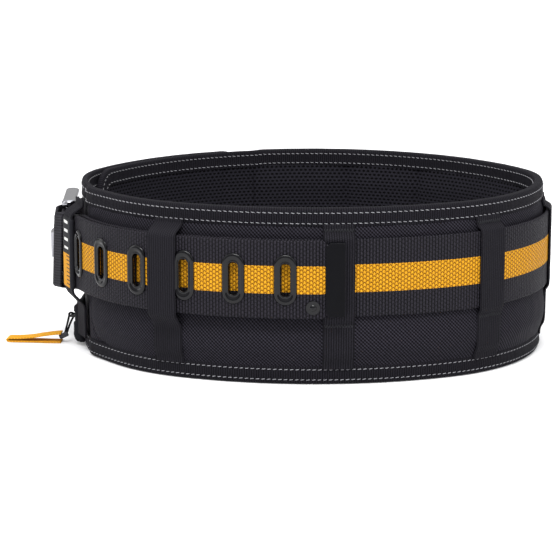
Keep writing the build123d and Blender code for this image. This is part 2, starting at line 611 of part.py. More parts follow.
# local frame of the pocket: x along the zip, y up, z outward
pocket_plane = Plane(origin=(*pocket_p, 0), x_dir=(PT[0], PT[1], 0), z_dir=(PW[0], PW[1], 0))
length = POCKET_FAR + POCKET_NEAR
mid_t = (POCKET_NEAR - POCKET_FAR) / 2
mid_z = (POCKET_TOP + POCKET_BOT) / 2
tall = POCKET_TOP - POCKET_BOT
bag = Pos(mid_t, mid_z, POCKET_W - 15) * Box(length, tall, 30)
face_edges = bag.faces().sort_by(Axis.Z)[-1].edges()
bag = fillet(face_edges, 2.5)
valley = Pos(mid_t, ZIP_Z, POCKET_W) * Box(length - 6, 2 * GROOVE, 10)
inside = band(120.0, 230.0, -60, NEAR_WING_OUT + BIND_T + AIR, -5, 60)
parts["pocket_shell"] = pocket_plane * (bag - valley) - inside

ZIP_NEAR = 25.0
ZIP_FAR = -31.0
zip_mid = (ZIP_NEAR + ZIP_FAR) / 2
zip_len = ZIP_NEAR - ZIP_FAR
parts["zip_tape"] = pocket_plane * (Pos(zip_mid, ZIP_Z, 0.45) * Box(zip_len + 3, 5.8, 0.8))
parts["zip_coil"] = pocket_plane * (Pos(zip_mid, ZIP_Z, 1.6) * Box(zip_len, 3.8, 1.4))
stops = [Pos(t, ZIP_Z, 1.5) * Box(1.3, 4.6, 1.2) for t in (ZIP_NEAR + 0.7, ZIP_FAR - 0.7)]
parts["zip_stops"] = Compound([pocket_plane * b for b in stops])

SLIDER_T = 19.0
ROD_W = 7.4
ROD_R = 0.8
plate = Pos(0, 0, 3.0) * Box(10, 5.7, 1.0)
plate = fillet(plate.edges().filter_by(Axis.Z), 1.6)
slider = plate
for s in (1, -1):
    slider += Pos(0, s * 2.45, 1.75) * Box(7, 0.8, 1.5)
    slider += Pos(s * 3.4, 0, 5.55) * Box(1.2, 2.2, 4.9)
slider += Pos(0, 0, ROD_W) * (Rot(0, 90, 0) * Cylinder(ROD_R, 7))
slider_at = Pos(SLIDER_T, ZIP_Z, 0)
parts["zip_slider"] = pocket_plane * (slider_at * slider)

# cord pull: a loop of thin cord round the slider's rod, down to an orange tab on the floor
CORD_D = 1.8


def pull(w, z):
    """Point beside the rod: w outward, z above it."""
    return on_pocket(SLIDER_T, ROD_W + w, ZIP_Z + z)


turn = ROD_R + CORD_D / 2 + 0.25
ferrule_a = (3.6, -16.7)
ferrule_b = (10.6, -20.0)
route = [
    (ferrule_a[0] + 2.0 - 0.4, ferrule_a[1] - 0.8 - 1.0),
    (0.4, -5.0),
    (-turn, -1.8),
    (-turn, turn),
    (turn, turn),
    (turn, -1.8),
    (ferrule_a[0] + 2.0 + 0.4, ferrule_a[1] - 0.8 + 1.0),
]
pts = [Vector(*pull(*q)) for q in route]
radii = []
for i in range(1, len(pts) - 1):
    a, b = pts[i] - pts[i - 1], pts[i + 1] - pts[i]
    half = radians(a.get_angle(b)) / 2
    radii.append(min(0.45 * min(a.length, b.length) / tan(half), 20.0))
print("pull cord radii", [round(r, 2) for r in radii])
line = FilletPolyline(*pts, radius=radii)
profile = Plane(origin=line @ 0, z_dir=line % 0) * Circle(CORD_D / 2)
parts["pull_cord"] = sweep(profile, path=line)
print("pull cord length", round(line.length, 1))

fa, fb = Vector(*pull(*ferrule_a)), Vector(*pull(*ferrule_b))
ferrule_len = (fb - fa).length
pl = Plane(origin=fa, z_dir=(fb - fa).normalized())
ferrule = Pos(0, 0, ferrule_len / 2) * Cylinder(2.2, ferrule_len)
ferrule = fillet(ferrule.edges().filter_by(GeomType.CIRCLE), 0.6)
ferrule = pl * ferrule
parts["pull_ferrule"] = (ferrule - parts["pull_cord"]).solids().sort_by(SortBy.VOLUME)[-1]

TAB_T = 1.4
TAB_W = 12.0
tab_z = TAB_T / 2 + 0.3
tab_mid = [(9.0, tab_z), (54.5, tab_z), (56.6, tab_z + 1.3), (54.5, tab_z + 2.6), (32.0, 5.1), (9.0, 8.6)]
tab_line = [(ROD_W + w, z) for w, z in tab_mid]
tp = on_pocket(SLIDER_T, 0, 0)
tab_plane = Plane(origin=tp, x_dir=(PW[0], PW[1], 0), z_dir=(PW[1], -PW[0], 0))
parts["pull_tab"] = extrude(tab_plane * thick_line(tab_line, TAB_T), amount=TAB_W / 2, both=True)

# the finished belt, without its pull, is centred over the origin and stands on the floor
low = [1e9, 1e9]
high = [-1e9, -1e9]
for name, shape in parts.items():
    if name.startswith("pull_"):
        continue
    bb = shape.bounding_box()
    low = [min(low[0], bb.min.X), min(low[1], bb.min.Y)]
    high = [max(high[0], bb.max.X), max(high[1], bb.max.Y)]
SHIFT = (-(low[0] + high[0]) / 2, -(low[1] + high[1]) / 2)
print("moved by", [round(v, 4) for v in SHIFT], "web meets the pad at", round(BACK_DIR, 2))
print("heel", HEEL, "roller", ROLL, "axis low z", LOW_Z)

os.makedirs("parts", exist_ok=True)
for name, shape in parts.items():
    shape = Pos(SHIFT[0], SHIFT[1], 0) * shape
    solids = shape.solids()
    bb = shape.bounding_box()
    print(name, len(solids), round(shape.volume), [round(v, 1) for v in (*bb.min, *bb.max)])
    export_step(Compound(solids) if len(solids) > 1 else solids[0], f"parts/{name}.step")
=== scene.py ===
import bpy
import bmesh
from math import sin, cos, asin, acos, atan2, radians, degrees, hypot, sqrt, pi, exp
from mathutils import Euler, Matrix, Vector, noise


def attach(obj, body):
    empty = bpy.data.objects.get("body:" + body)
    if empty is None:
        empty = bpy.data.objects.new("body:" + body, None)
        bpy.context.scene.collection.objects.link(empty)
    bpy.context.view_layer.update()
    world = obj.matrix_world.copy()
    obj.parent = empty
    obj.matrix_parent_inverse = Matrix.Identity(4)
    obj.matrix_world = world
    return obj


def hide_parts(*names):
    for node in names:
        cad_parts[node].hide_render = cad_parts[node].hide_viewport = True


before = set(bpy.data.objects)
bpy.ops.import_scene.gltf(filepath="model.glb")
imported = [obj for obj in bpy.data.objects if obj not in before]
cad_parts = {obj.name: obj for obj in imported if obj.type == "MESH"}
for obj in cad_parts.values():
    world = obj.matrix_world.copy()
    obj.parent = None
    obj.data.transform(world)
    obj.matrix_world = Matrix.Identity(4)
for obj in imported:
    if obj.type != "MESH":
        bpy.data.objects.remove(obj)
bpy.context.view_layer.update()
MM = 0.001
SX, SY = 11.8183, 3.2596            # the middle of the oval in the row frame, mm
CAMERA_AT, LOOKS_DOWN = (-0.01618, -1.86144, 0.4664), 12.5
FOCAL_PX, IMAGE_PX, SENSOR = 2200.0, 560.0, 36.0

# ------------------------------------------------------------------ camera and light
cam = bpy.data.cameras.new("camera")
cam_ob = bpy.data.objects.new("camera", cam)
bpy.context.scene.collection.objects.link(cam_ob)
cam.sensor_width = SENSOR
cam.lens = FOCAL_PX / IMAGE_PX * SENSOR
cam.clip_end = 20.0
cam_ob.location = CAMERA_AT
cam_ob.rotation_euler = Euler((radians(90 - LOOKS_DOWN), 0, 0))
bpy.context.scene.camera = cam_ob


def lamp(name, loc, target, size, power):
    data = bpy.data.lights.new(name, "AREA")
    data.shape = "RECTANGLE"
    data.size, data.size_y = size
    data.energy = power
    ob = bpy.data.objects.new(name, data)
    ob.location = loc
    ob.rotation_euler = (Vector(target) - Vector(loc)).to_track_quat("-Z", "Y").to_euler()
    bpy.context.scene.collection.objects.link(ob)


lamp("key", (-0.3, -1.1, 1.9), (0, 0, 0.05), (1.3, 0.9), 9)
lamp("fill", (1.8, -1.3, 0.9), (0, 0, 0.08), (1.0, 1.4), 5)
lamp("left", (-1.7, 0.1, 0.7), (-0.1, 0, 0.08), (0.7, 1.2), 6)
lamp("top", (0.1, 0.4, 1.7), (0, 0.0, 0.0), (1.4, 1.0), 9)
lamp("strip", (0.0, -0.75, 1.25), (0, -0.1, 0.08), (1.0, 0.2), 14)


def studio_world(low, high, dim, bright):
    """White light all round, dim at the horizon and bright overhead, so that rounded shapes read."""
    world = bpy.data.worlds.new("studio")
    world.use_nodes = True
    tree = world.node_tree
    up = tree.nodes.new("ShaderNodeSeparateXYZ")
    tree.links.new(tree.nodes.new("ShaderNodeTexCoord").outputs["Generated"], up.inputs[0])
    fade = tree.nodes.new("ShaderNodeMapRange")
    for k, v in enumerate((low, high, dim, bright), 1):
        fade.inputs[k].default_value = v
    tree.links.new(up.outputs[2], fade.inputs[0])
    tree.links.new(fade.outputs[0], tree.nodes["Background"].inputs["Strength"])
    tree.nodes["Background"].inputs["Color"].default_value = (1, 1, 1, 1)
    bpy.context.scene.world = world


studio_world(-0.1, 0.85, 0.22, 1.5)
bpy.context.scene.view_settings.view_transform = "Standard"

# ------------------------------------------------------------------ the belt's plan, in mm
HALF_LEN, HALF_WID, R_NEAR, R_FAR = 200.0, 155.0, 285.0, 215.0
PAD_T, PAD_H = 14.0, 145.0
R1 = (R_NEAR**2 - HALF_LEN**2 - (R_NEAR - HALF_WID)**2) / (2 * (R_NEAR - HALF_LEN))
R2 = (R_FAR**2 - HALF_LEN**2 - (R_FAR - HALF_WID)**2) / (2 * (R_FAR - HALF_LEN))
T1 = degrees(atan2(HALF_LEN - R1, R_NEAR - HALF_WID))
T2 = degrees(atan2(HALF_LEN - R2, R_FAR - HALF_WID))
OVAL = [
    (HALF_LEN - R2, 0.0, R2, 0.0, 90.0 - T2),
    (0.0, HALF_WID - R_FAR, R_FAR, 90.0 - T2, 90.0 + T2),
    (R2 - HALF_LEN, 0.0, R2, 90.0 + T2, 180.0),
    (R1 - HALF_LEN, 0.0, R1, 180.0, 270.0 - T1),
    (0.0, R_NEAR - HALF_WID, R_NEAR, 270.0 - T1, 270.0 + T1),
    (HALF_LEN - R1, 0.0, R1, 270.0 + T1, 360.0),
]


def arcs(a0, a1):
    out = []
    for turn in (0.0, 360.0):
        for cx, cy, r, b0, b1 in OVAL:
            lo, hi = max(a0, b0 + turn), min(a1, b1 + turn)
            if hi - lo > 1e-6:
                out.append((cx, cy, r, lo, hi))
    return out


def s_of(a):
    """Running length along the oval, on the pad's outer face, from direction 0 to a."""
    return sum(r * radians(hi - lo) for _, _, r, lo, hi in arcs(0.0, a))


def a_of(s):
    for cx, cy, r, lo, hi in arcs(0.0, 720.0):
        n = r * radians(hi - lo)
        if s <= n:
            return lo + degrees(s / r)
        s -= n
    return 720.0


def surf(s, z, off):
    """Point at running length s, height z and off outside the pad's outer face."""
    a = a_of(s)
    for cx, cy, r, b0, b1 in OVAL:
        if b0 - 1e-9 <= a % 360.0 <= b1 + 1e-9:
            return Vector((SX + cx + (r + off) * cos(radians(a)), SY + cy + (r + off) * sin(radians(a)), z))


def rough(x, y, z, size):
    return noise.noise(Vector((x / size, y / size, z / size)))


# ------------------------------------------------------------------ materials
class Nodes:
    """Short way to write shader maths."""

    def __init__(self, name, rough_=0.8, spec=0.15, **sockets):
        self.m = bpy.data.materials.new(name)
        self.m.use_nodes = True
        self.t = self.m.node_tree
        self.b = self.t.nodes["Principled BSDF"]
        self.b.inputs["Roughness"].default_value = rough_
        self.b.inputs["Specular IOR Level"].default_value = spec
        for k, v in sockets.items():
            self.b.inputs[k.replace("_", " ")].default_value = v

    def set(self, socket, v):
        if isinstance(v, bpy.types.NodeSocket):
            self.t.links.new(v, socket)
        else:
            socket.default_value = v

    def math(self, op, a, b=0.0, clamp=False):
        n = self.t.nodes.new("ShaderNodeMath")
        n.operation = op
        n.use_clamp = clamp
        self.set(n.inputs[0], a)
        self.set(n.inputs[1], b)
        return n.outputs[0]

    def mul(self, a, b):
        return self.math("MULTIPLY", a, b)

    def add(self, a, b):
        return self.math("ADD", a, b)

    def minus(self, a, b):
        return self.math("SUBTRACT", a, b)

    def over(self, a, b):
        return self.math("DIVIDE", a, b)

    def power(self, a, b):
        return self.math("POWER", a, b)

    def below(self, a, b):
        return self.math("LESS_THAN", a, b)

    def size(self, a):
        return self.math("ABSOLUTE", a)

    def sine(self, a):
        return self.math("SINE", a)

    def floor(self, a):
        return self.math("FLOOR", a)

    def part(self, a):
        return self.math("FRACT", a)

    def uv(self):
        n = self.t.nodes.new("ShaderNodeUVMap")
        n.uv_map = "run"
        x = self.t.nodes.new("ShaderNodeSeparateXYZ")
        self.t.links.new(n.outputs[0], x.inputs[0])
        return self.math("MULTIPLY", x.outputs[0], 1000.0), self.math("MULTIPLY", x.outputs[1], 1000.0)

    def place(self):
        return self.t.nodes.new("ShaderNodeTexCoord").outputs["Object"]

    def noise(self, scale, detail=3.0, vec=None):
        n = self.t.nodes.new("ShaderNodeTexNoise")
        n.inputs["Scale"].default_value = scale
        n.inputs["Detail"].default_value = detail
        n.inputs["Roughness"].default_value = 0.55
        self.t.links.new(vec if vec is not None else self.place(), n.inputs["Vector"])
        return n.outputs["Fac"]

    def mix(self, fac, a, b):
        n = self.t.nodes.new("ShaderNodeMix")
        n.data_type = "RGBA"
        self.set(n.inputs["Factor"], fac)
        for key, v in ((6, a), (7, b)):
            self.set(n.inputs[key], (*v, 1) if isinstance(v, tuple) else v)
        return n.outputs[2]

    def combine(self, x, y, z=0.0):
        n = self.t.nodes.new("ShaderNodeCombineXYZ")
        for i, v in enumerate((x, y, z)):
            self.set(n.inputs[i], v)
        return n.outputs[0]

    def colour(self, c):
        self.set(self.b.inputs["Base Color"], (*c, 1) if isinstance(c, tuple) else c)
        return self

    def bump(self, height, dist, strength=1.0):
        n = self.t.nodes.new("ShaderNodeBump")
        n.inputs["Distance"].default_value = dist * MM
        n.inputs["Strength"].default_value = strength
        self.t.links.new(height, n.inputs["Height"])
        self.t.links.new(n.outputs[0], self.b.inputs["Normal"])
        return self

    def roughness(self, v):
        self.set(self.b.inputs["Roughness"], v)
        return self


def cells(m, u, v, wide, tall, vee):
    """Staggered cells in upright columns: each point's distance from a column's edge and a cell's end."""
    uu = m.over(u, wide)
    col = m.floor(uu)
    fu = m.size(m.minus(m.part(uu), 0.5))
    odd = m.math("MODULO", m.size(col), 2.0)
    q = m.add(m.over(v, tall), m.mul(odd, 0.5))
    q = m.add(q, m.mul(fu, vee))
    fv = m.size(m.minus(m.part(q), 0.5))
    across = m.minus(1.0, m.power(m.mul(fu, 2.0), 2.2))
    along = m.minus(1.0, m.power(m.mul(fv, 2.0), 4.0))
    return across, along


STRIPE_W = 22.6


def web_material(name):
    """Heavy herringbone web, black with an orange stripe along its middle; each cell is painted lit on top
    and in shade at its edges.
    """
    m = Nodes(name, 0.6, 0.10)
    u, v = m.uv()
    across, along = cells(m, u, v, 2.6, 3.4, 0.6)
    fibre = m.noise(900, 2.0)
    patchy = m.noise(22, 3.0)
    ends = m.add(m.mul(along, 0.6), 0.4)
    knit = m.mul(m.power(across, 1.3), ends)
    scale = m.mul(along, m.add(m.mul(across, 0.45), 0.55))
    # painted light and shade: the raised cells are painted as lit black and the gaps between them as shaded
    # black
    black = m.mix(knit, (0.0003, 0.0003, 0.0005), (0.021, 0.019, 0.026))
    black = m.mix(m.mul(patchy, 0.1), black, (0.004, 0.0037, 0.005))
    # painted light and shade: a lit orange, and a shaded dark orange at each cell's edges
    lit = m.mix(fibre, (0.54, 0.235, 0.006), (0.78, 0.385, 0.018))
    orange = m.mix(m.power(scale, 1.3), (0.09, 0.022, 0.001), lit)
    inside = m.below(m.size(v), STRIPE_W / 2)
    m.colour(m.mix(inside, black, orange))
    m.bump(m.add(m.add(knit, scale), m.mul(fibre, 0.3)), 0.6, 0.9)
    return m.m


def rib_material(name, pitch, tone=(0.030, 0.029, 0.034), across=True, groove=0.35):
    """Ribbed tape: ribs run across the tape, or along it; rib tops are painted lit and the grooves painted
    in shade, as dark as groove says.
    """
    m = Nodes(name, 0.72, 0.07)
    u, v = m.uv()
    x, y = (u, v) if across else (v, u)
    wave = m.size(m.sine(m.mul(x, pi / pitch)))
    fine = m.size(m.sine(m.add(m.mul(y, pi / 1.3), m.mul(m.floor(m.over(x, pitch)), 1.57))))
    h = m.add(m.mul(wave, 0.7), m.mul(fine, 0.3))
    fibre = m.noise(1100, 2.0)
    # painted light and shade: a shaded copy of the tone for the grooves and a lit copy for the rib tops
    dark = tuple(c * groove for c in tone)
    lit = tuple(min(1.0, c * (3.0 if c < 0.1 else 1.5)) for c in tone)
    ribs = m.mix(m.power(h, 1.4), dark, lit)
    m.colour(m.mix(m.mul(m.noise(30, 3.0), 0.3), ribs, tone))
    m.bump(m.add(h, m.mul(fibre, 0.3)), 0.45, 1.0)
    return m.m


def nylon_material(name, tone=(0.0052, 0.0048, 0.0066), pitch=3.0):
    """Ballistic cloth: fine yarns with a diagonal grain, painted lit on the yarns' tops and in shade between
    them.
    """
    m = Nodes(name, 0.70, 0.06)
    u, v = m.uv()
    p = m.over(u, pitch)
    q = m.over(v, pitch)
    twill = m.sine(m.mul(m.add(p, q), 2 * pi))
    broken = m.sine(m.mul(m.minus(p, q), 2 * pi))
    h = m.add(m.add(m.mul(twill, 0.32), m.mul(broken, 0.16)), 0.5)
    grain = m.noise(700, 2.0)
    slub = m.noise(1.0, 3.0, m.combine(m.mul(u, 0.05), m.mul(v, 1.1)))
    # painted light and shade: a lit and a shaded copy of the tone, mixed by the yarns' height
    lit = tuple(c * 7.0 for c in tone)
    dark = tuple(c * 0.02 for c in tone)
    yarn = m.mul(m.power(h, 1.6), m.add(m.mul(grain, 0.9), 0.45))
    c = m.mix(yarn, dark, lit)
    c = m.mix(m.mul(slub, 0.12), c, tuple(c_ * 1.2 for c_ in tone))
    m.colour(c)
    m.bump(m.add(m.add(h, grain), m.mul(slub, 0.5)), 0.32, 0.85)
    return m.m


def mesh_material(name):
    """Knitted spacer mesh: staggered oval holes in a ribbed knit, the holes painted near black as shade."""
    m = Nodes(name, 0.78, 0.06)
    u, v = m.uv()
    px, py = 4.4, 3.1
    row = m.floor(m.over(v, py))
    shift = m.mul(m.math("MODULO", m.size(row), 2.0), 0.5)
    fu = m.minus(m.part(m.add(m.over(u, px), shift)), 0.5)
    fv = m.minus(m.part(m.over(v, py)), 0.5)
    d = m.math("SQRT", m.add(m.power(m.mul(fu, 1.7), 2.0),
                              m.power(m.mul(fv, 1.9), 2.0)))
    hole = m.math("MULTIPLY", m.minus(0.62, d), 5.0, clamp=True)
    knit = m.noise(1200, 2.0)
    yarn = m.mix(knit, (0.004, 0.0038, 0.005), (0.020, 0.019, 0.026))
    # painted shade: the holes are coloured near black where their recesses would lie in shade
    m.colour(m.mix(hole, yarn, (0.0005, 0.0005, 0.0008)))
    m.bump(m.minus(m.mul(knit, 0.25), hole), 1.1, 1.0)
    return m.m


def fuzz_material(name, tone):
    m = Nodes(name, 0.9, 0.1, Sheen_Weight=0.1, Sheen_Roughness=0.4)
    f = m.noise(1500, 4.0)
    g = m.noise(260, 3.0)
    both = m.add(f, g)
    m.colour(m.mix(m.mul(both, 0.5), tuple(c * 0.5 for c in tone), tuple(c * 1.5 for c in tone)))
    m.bump(both, 0.6, 1.0)
    return m.m


def metal_material(name, tone, rough_, metallic=1.0, spec=0.5):
    m = Nodes(name, rough_, spec, Metallic=metallic)
    n = m.noise(60, 4.0)
    s = m.noise(700, 3.0)
    m.colour(m.mix(m.mul(n, 0.3), tone, tuple(c * 0.6 for c in tone)))
    m.roughness(m.add(rough_ * 0.8, m.mul(m.add(n, s), rough_ * 0.35)))
    m.bump(m.add(s, n), 0.02, 0.6)
    return m.m


def moulded_material(name, tone, rough_):
    m = Nodes(name, rough_, 0.07)
    s = m.noise(1600, 3.0)
    n = m.noise(45, 3.0)
    m.colour(m.mix(n, tuple(c * 0.8 for c in tone), tuple(c * 1.25 for c in tone)))
    m.roughness(m.add(rough_ - 0.08, m.mul(s, 0.18)))
    m.bump(s, 0.06, 0.7)
    return m.m


def thread_material(name, tone):
    m = Nodes(name, 0.75, 0.2)
    n = m.noise(2500, 2.0)
    g = m.noise(35, 2.0)
    m.colour(m.mix(m.mul(m.add(n, g), 0.5), tuple(c * 0.55 for c in tone), tone))
    m.bump(n, 0.1, 0.8)
    return m.m


NYLON = nylon_material("ballistic nylon")
POCKET = nylon_material("pocket cloth", (0.005, 0.005, 0.006), 0.9)
MESH = mesh_material("spacer mesh")
WEB = web_material("striped web")
# rib tops on these tapes are painted lit and their grooves painted in shade; groove sets how dark the
# painted shade is
BIND = rib_material("binding tape", 2.0, (0.0045, 0.0042, 0.0058), groove=0.02)
LOOPWEB = rib_material("loop webbing", 2.0, (0.0058, 0.0054, 0.0072), across=False, groove=0.02)
KEEPWEB = rib_material("keeper webbing", 2.4, (0.0075, 0.0070, 0.0092), groove=0.02)
ORANGE = rib_material("orange webbing", 1.3, (0.60, 0.28, 0.012), groove=0.45)
FUZZ = fuzz_material("hook and loop", (0.015, 0.017, 0.016))
THREAD = thread_material("pale thread", (0.30, 0.30, 0.32))
BLACKTHREAD = thread_material("black thread", (0.020, 0.020, 0.024))
LACQUER = metal_material("black lacquer", (0.002, 0.002, 0.003), 0.07, 0.0, spec=0.25)
WASHER = metal_material("black washer", (0.005, 0.005, 0.006), 0.3, 0.1, spec=0.15)
GUNMETAL = metal_material("gunmetal", (0.30, 0.30, 0.32), 0.12)
TIP = moulded_material("tip plastic", (0.002, 0.002, 0.003), 0.36)
SLEEVE = moulded_material("ferrule rubber", (0.040, 0.040, 0.045), 0.55)
CORD = rib_material("braided cord", 0.9, (0.014, 0.014, 0.016))
ZIPCOIL = moulded_material("zip coil", (0.012, 0.012, 0.013), 0.35)


# ------------------------------------------------------------------ mesh helpers
def build(name, verts, faces, uvs, mat, body="belt", nodes=()):
    """verts in mm; uvs is one (u, v) in mm for each vertex."""
    me = bpy.data.meshes.new(name)
    me.from_pydata([(x * MM, y * MM, z * MM) for x, y, z in verts], [], faces)
    layer = me.uv_layers.new(name="run")
    for loop in me.loops:
        u, v = uvs[loop.vertex_index]
        layer.data[loop.index].uv = (u * MM, v * MM)
    me.materials.append(mat)
    for p in me.polygons:
        p.use_smooth = True
    me.validate()
    ob = bpy.data.objects.new(name, me)
    bpy.context.scene.collection.objects.link(ob)
    bm = bmesh.new()
    bm.from_mesh(me)
    bmesh.ops.recalc_face_normals(bm, faces=bm.faces)
    bm.to_mesh(me)
    bm.free()
    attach(ob, body)
    if nodes:
        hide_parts(*nodes)
    return ob


def round_box(half_x, half_z, r, steps):
    """Rounded rectangle, anticlockwise from its lower right corner: (x, z, normal x, normal z)."""
    out = []
    for cx, cz, b0 in ((1, -1, -90), (1, 1, 0), (-1, 1, 90), (-1, -1, 180)):
        for k in range(steps + 1):
            b = radians(b0 + 90.0 / steps * k)
            out.append((cx * (half_x - r) + r * cos(b), cz * (half_z - r) + r * sin(b), cos(b), sin(b)))
    return out


def loft(rows, closed=False):
    """Quads between equal closed loops of points; open lofts get end faces."""
    n = len(rows[0])
    verts = [p for r in rows for p in r]
    faces = []
    count = len(rows)
    for i in range(count if closed else count - 1):
        k = (i + 1) % count
        for j in range(n):
            q = (j + 1) % n
            faces.append((i * n + j, i * n + q, k * n + q, k * n + j))
    if not closed:
        faces.append(tuple(range(n))[::-1])
        faces.append(tuple((count - 1) * n + j for j in range(n)))
    return verts, faces


def tape_section(w, t, n):
    """Closed loop of (out, across): a tape with soft rounded edges."""
    r = t / 2
    side = [(r, -w / 2 + r + (w - 2 * r) * i / n) for i in range(n + 1)]
    side += [(r * cos(b), w / 2 - r + r * sin(b)) for b in (pi / 4, pi / 2, 3 * pi / 4)]
    return side + [(-o, -a) for o, a in side]


# a plan path is lines and arcs; each piece also has its middle height at both ends
def sample(path, step):
    """Frames (x, y, z, outward x, outward y, running length) along a path."""
    out = []
    s = 0.0
    for seg in path:
        if seg[0] == "line":
            (x0, y0), (x1, y1), z0, z1 = seg[1:]
            n = hypot(x1 - x0, y1 - y0)
            k = max(1, int(round(n / step)))
            nx, ny = (y1 - y0) / n, -(x1 - x0) / n
            pts = []
            for i in range(k + 1):
                x, y = x0 + (x1 - x0) * i / k, y0 + (y1 - y0) * i / k
                pts.append((x, y, z0 + (z1 - z0) * i / k, nx, ny, s + n * i / k))
        else:
            (cx, cy), r, a0, a1, z0, z1 = seg[1:]
            n = abs(radians(a1 - a0)) * r
            k = max(2, int(round(n / step)))
            pts = []
            for i in range(k + 1):
                a = radians(a0 + (a1 - a0) * i / k)
                x, y = cx + r * cos(a), cy + r * sin(a)
                pts.append((x, y, z0 + (z1 - z0) * i / k, cos(a), sin(a), s + n * i / k))
        s += n
        out += pts if not out else pts[1:]
    return out


# ------------------------------------------------------------------ pad, wings and their bindings
def outline(s0, s1, edge, r0, r1, step=3.0):
    """Boundary of a panel, anticlockwise, as (s, z, inward s, inward z); corners rounded by r0 and r1."""
    pts = []
    z0, z1 = edge, PAD_H - edge

    def run(p, q, n_in):
        n = hypot(q[0] - p[0], q[1] - p[1])
        k = max(1, int(n / step))
        pts.extend((p[0] + (q[0] - p[0]) * i / k, p[1] + (q[1] - p[1]) * i / k, *n_in) for i in range(k))

    def corner(cx, cz, r, b0):
        k = max(4, int(r * 1.57 / 2.5))
        for i in range(k):
            b = radians(b0 + 90.0 * i / k)
            pts.append((cx + r * cos(b), cz + r * sin(b), -cos(b), -sin(b)))

    run((s0 + r0, z0), (s1 - r1, z0), (0, 1))
    corner(s1 - r1, z0 + r1, r1, -90)
    run((s1, z0 + r1), (s1, z1 - r1), (-1, 0))
    corner(s1 - r1, z1 - r1, r1, 0)
    run((s1 - r1, z1), (s0 + r0, z1), (0, -1))
    corner(s0 + r0, z1 - r0, r0, 90)
    run((s0, z1 - r0), (s0, z0 + r0), (1, 0))
    corner(s0 + r0, z0 + r0, r0, 180)
    return pts


def ease(x, a, b):
    k = min(1.0, max(0.0, (x - a) / (b - a)))
    return k * k * (3 - 2 * k)


S_OUTER, S_FRONT, S_BACK, S_INNER = s_of(106.2), s_of(200.0), s_of(465.0), s_of(526.0)


def skins(s):
    """Outer and inner face of wings and pad, off the oval: thin, thick, thin again."""
    front, thick = ease(s, S_FRONT - 4, S_FRONT + 8), ease(s, S_FRONT - 2, S_FRONT + 45)
    back = ease(s, S_BACK - 12, S_BACK + 2)
    return -3.0 * (1 - front) - 9.45 * back, -PAD_T / 2 * (1 + thick) + 0.55 * back


PINCH = 3.7                         # the binding squeezes each face of the stuffed pad by this
STITCH_ROWS = (4.0, 12.4)           # how far the binding's two rows of stitching lie from its edge


def stuffed(s):
    return min(ease(s, S_FRONT - 2, S_FRONT + 45), 1 - ease(s, S_BACK - 12, S_BACK + 2))


def pinch(s, z):
    return PINCH * stuffed(s) * (1 - ease(min(z, PAD_H - z), 13.0, 34.0))


def edge_skins(s):
    out, inner = skins(s)
    return out - PINCH * stuffed(s), inner + PINCH * stuffed(s)


def panel(name, s0, s1, e0, e1, r0, r1, puff_out, puff_in, nodes, rows_z=54, step=2.6):
    """Closed stuffed panel; its free ends are rounded in height and lie e0 or e1 inside the binding."""
    count = int((s1 - s0) / step)
    edge = 2.6
    rows = []
    uvs = []
    for i in range(count + 1):
        s = s0 + e0 + (s1 - s0 - e0 - e1) * i / count
        lo, hi = edge, PAD_H - edge
        for d, r in ((s - s0, r0), (s1 - s, r1)):
            if d < r:
                inset = r - sqrt(max(0.0, r * r - (r - d)**2))
                lo, hi = max(lo, inset + 1), min(hi, PAD_H - inset - 1)
        out, inner = skins(s)
        loop = []
        for j in range(rows_z + 1):
            z = lo + (hi - lo) * j / rows_z
            loop.append((s, z, out - pinch(s, z) + puff_out(s, z)))
        for j in range(rows_z + 1):
            z = hi - (hi - lo) * j / rows_z
            loop.append((s, z, inner + pinch(s, z) + puff_in(s, z)))
        rows.append([surf(*p) for p in loop])
        uvs += [(p[0], p[1]) for p in loop]
    verts, faces = loft(rows)
    ob = build(name, verts, faces, uvs, NYLON, "belt", nodes)
    ob.data.materials.append(MESH)
    n = 2 * (rows_z + 1)
    for p in ob.data.polygons:
        js = [v % n for v in p.vertices]
        if len(p.vertices) > 4:
            p.use_smooth = False
        elif sum(j > rows_z for j in js) >= 2:
            p.material_index = 1
    return ob


def bound_edge(name, s0, s1, r, width, nodes, wave=0.35):
    """Tape folded round the whole edge of pad and wings, with two rows of stitching on each face."""
    line = outline(s0, s1, 0.25, r, r)
    rows, uvs = [], []
    run = 0.0
    for i, (s, z, ns, nz) in enumerate(line):
        out, inner = edge_skins(s)
        mid = (out + inner) / 2
        half = (out - inner) / 2 + 0.8
        crown = min(half, 4.2)
        prof = [(half - 0.9, width - 0.1), (half - 0.2, width - 0.3), (half, width - 0.9)]
        prof += [(half + 0.15, width * 0.7), (half - 0.05, width * 0.5), (half + 0.15, width * 0.36)]
        prof.append((half, crown + 0.6))
        for b in (radians(k) for k in range(15, 90, 15)):
            prof.append((half - crown * 0.55 * (1 - cos(b)), crown * (1 - sin(b)) * 0.9 + 0.15))
        prof.append((0.0, 0.0))
        prof += [(-o, w) for o, w in prof[-2::-1]]
        prof.append((0.0, width * 0.55))
        row = []
        k = 0.0
        for j, (o, w) in enumerate(prof):
            pucker = wave * rough(s, z, 7 + (o > 0) * 40, 9.0) if w > 3 else 0.12 * rough(s, z, o, 14.0)
            ww = w + pucker * 0.8
            oo = mid + o + (0.35 * rough(s, z, 90 + (o > 0) * 9, 7.0) if abs(o) > half - 1 and w > 3 else 0)
            oo += crease(s, z)
            row.append(surf(s + ns * ww, z + nz * ww, oo))
            uvs.append((run, k))
            if j + 1 < len(prof):
                k += hypot(prof[j + 1][0] - o, prof[j + 1][1] - w)
        rows.append(row)
        nxt = line[(i + 1) % len(line)]
        run += hypot(nxt[0] - s, nxt[1] - z)
    verts, faces = loft(rows, closed=True)
    build(name, verts, faces, uvs, BIND, "belt", nodes)
    stitches(name + ".stitching", line, STITCH_ROWS)


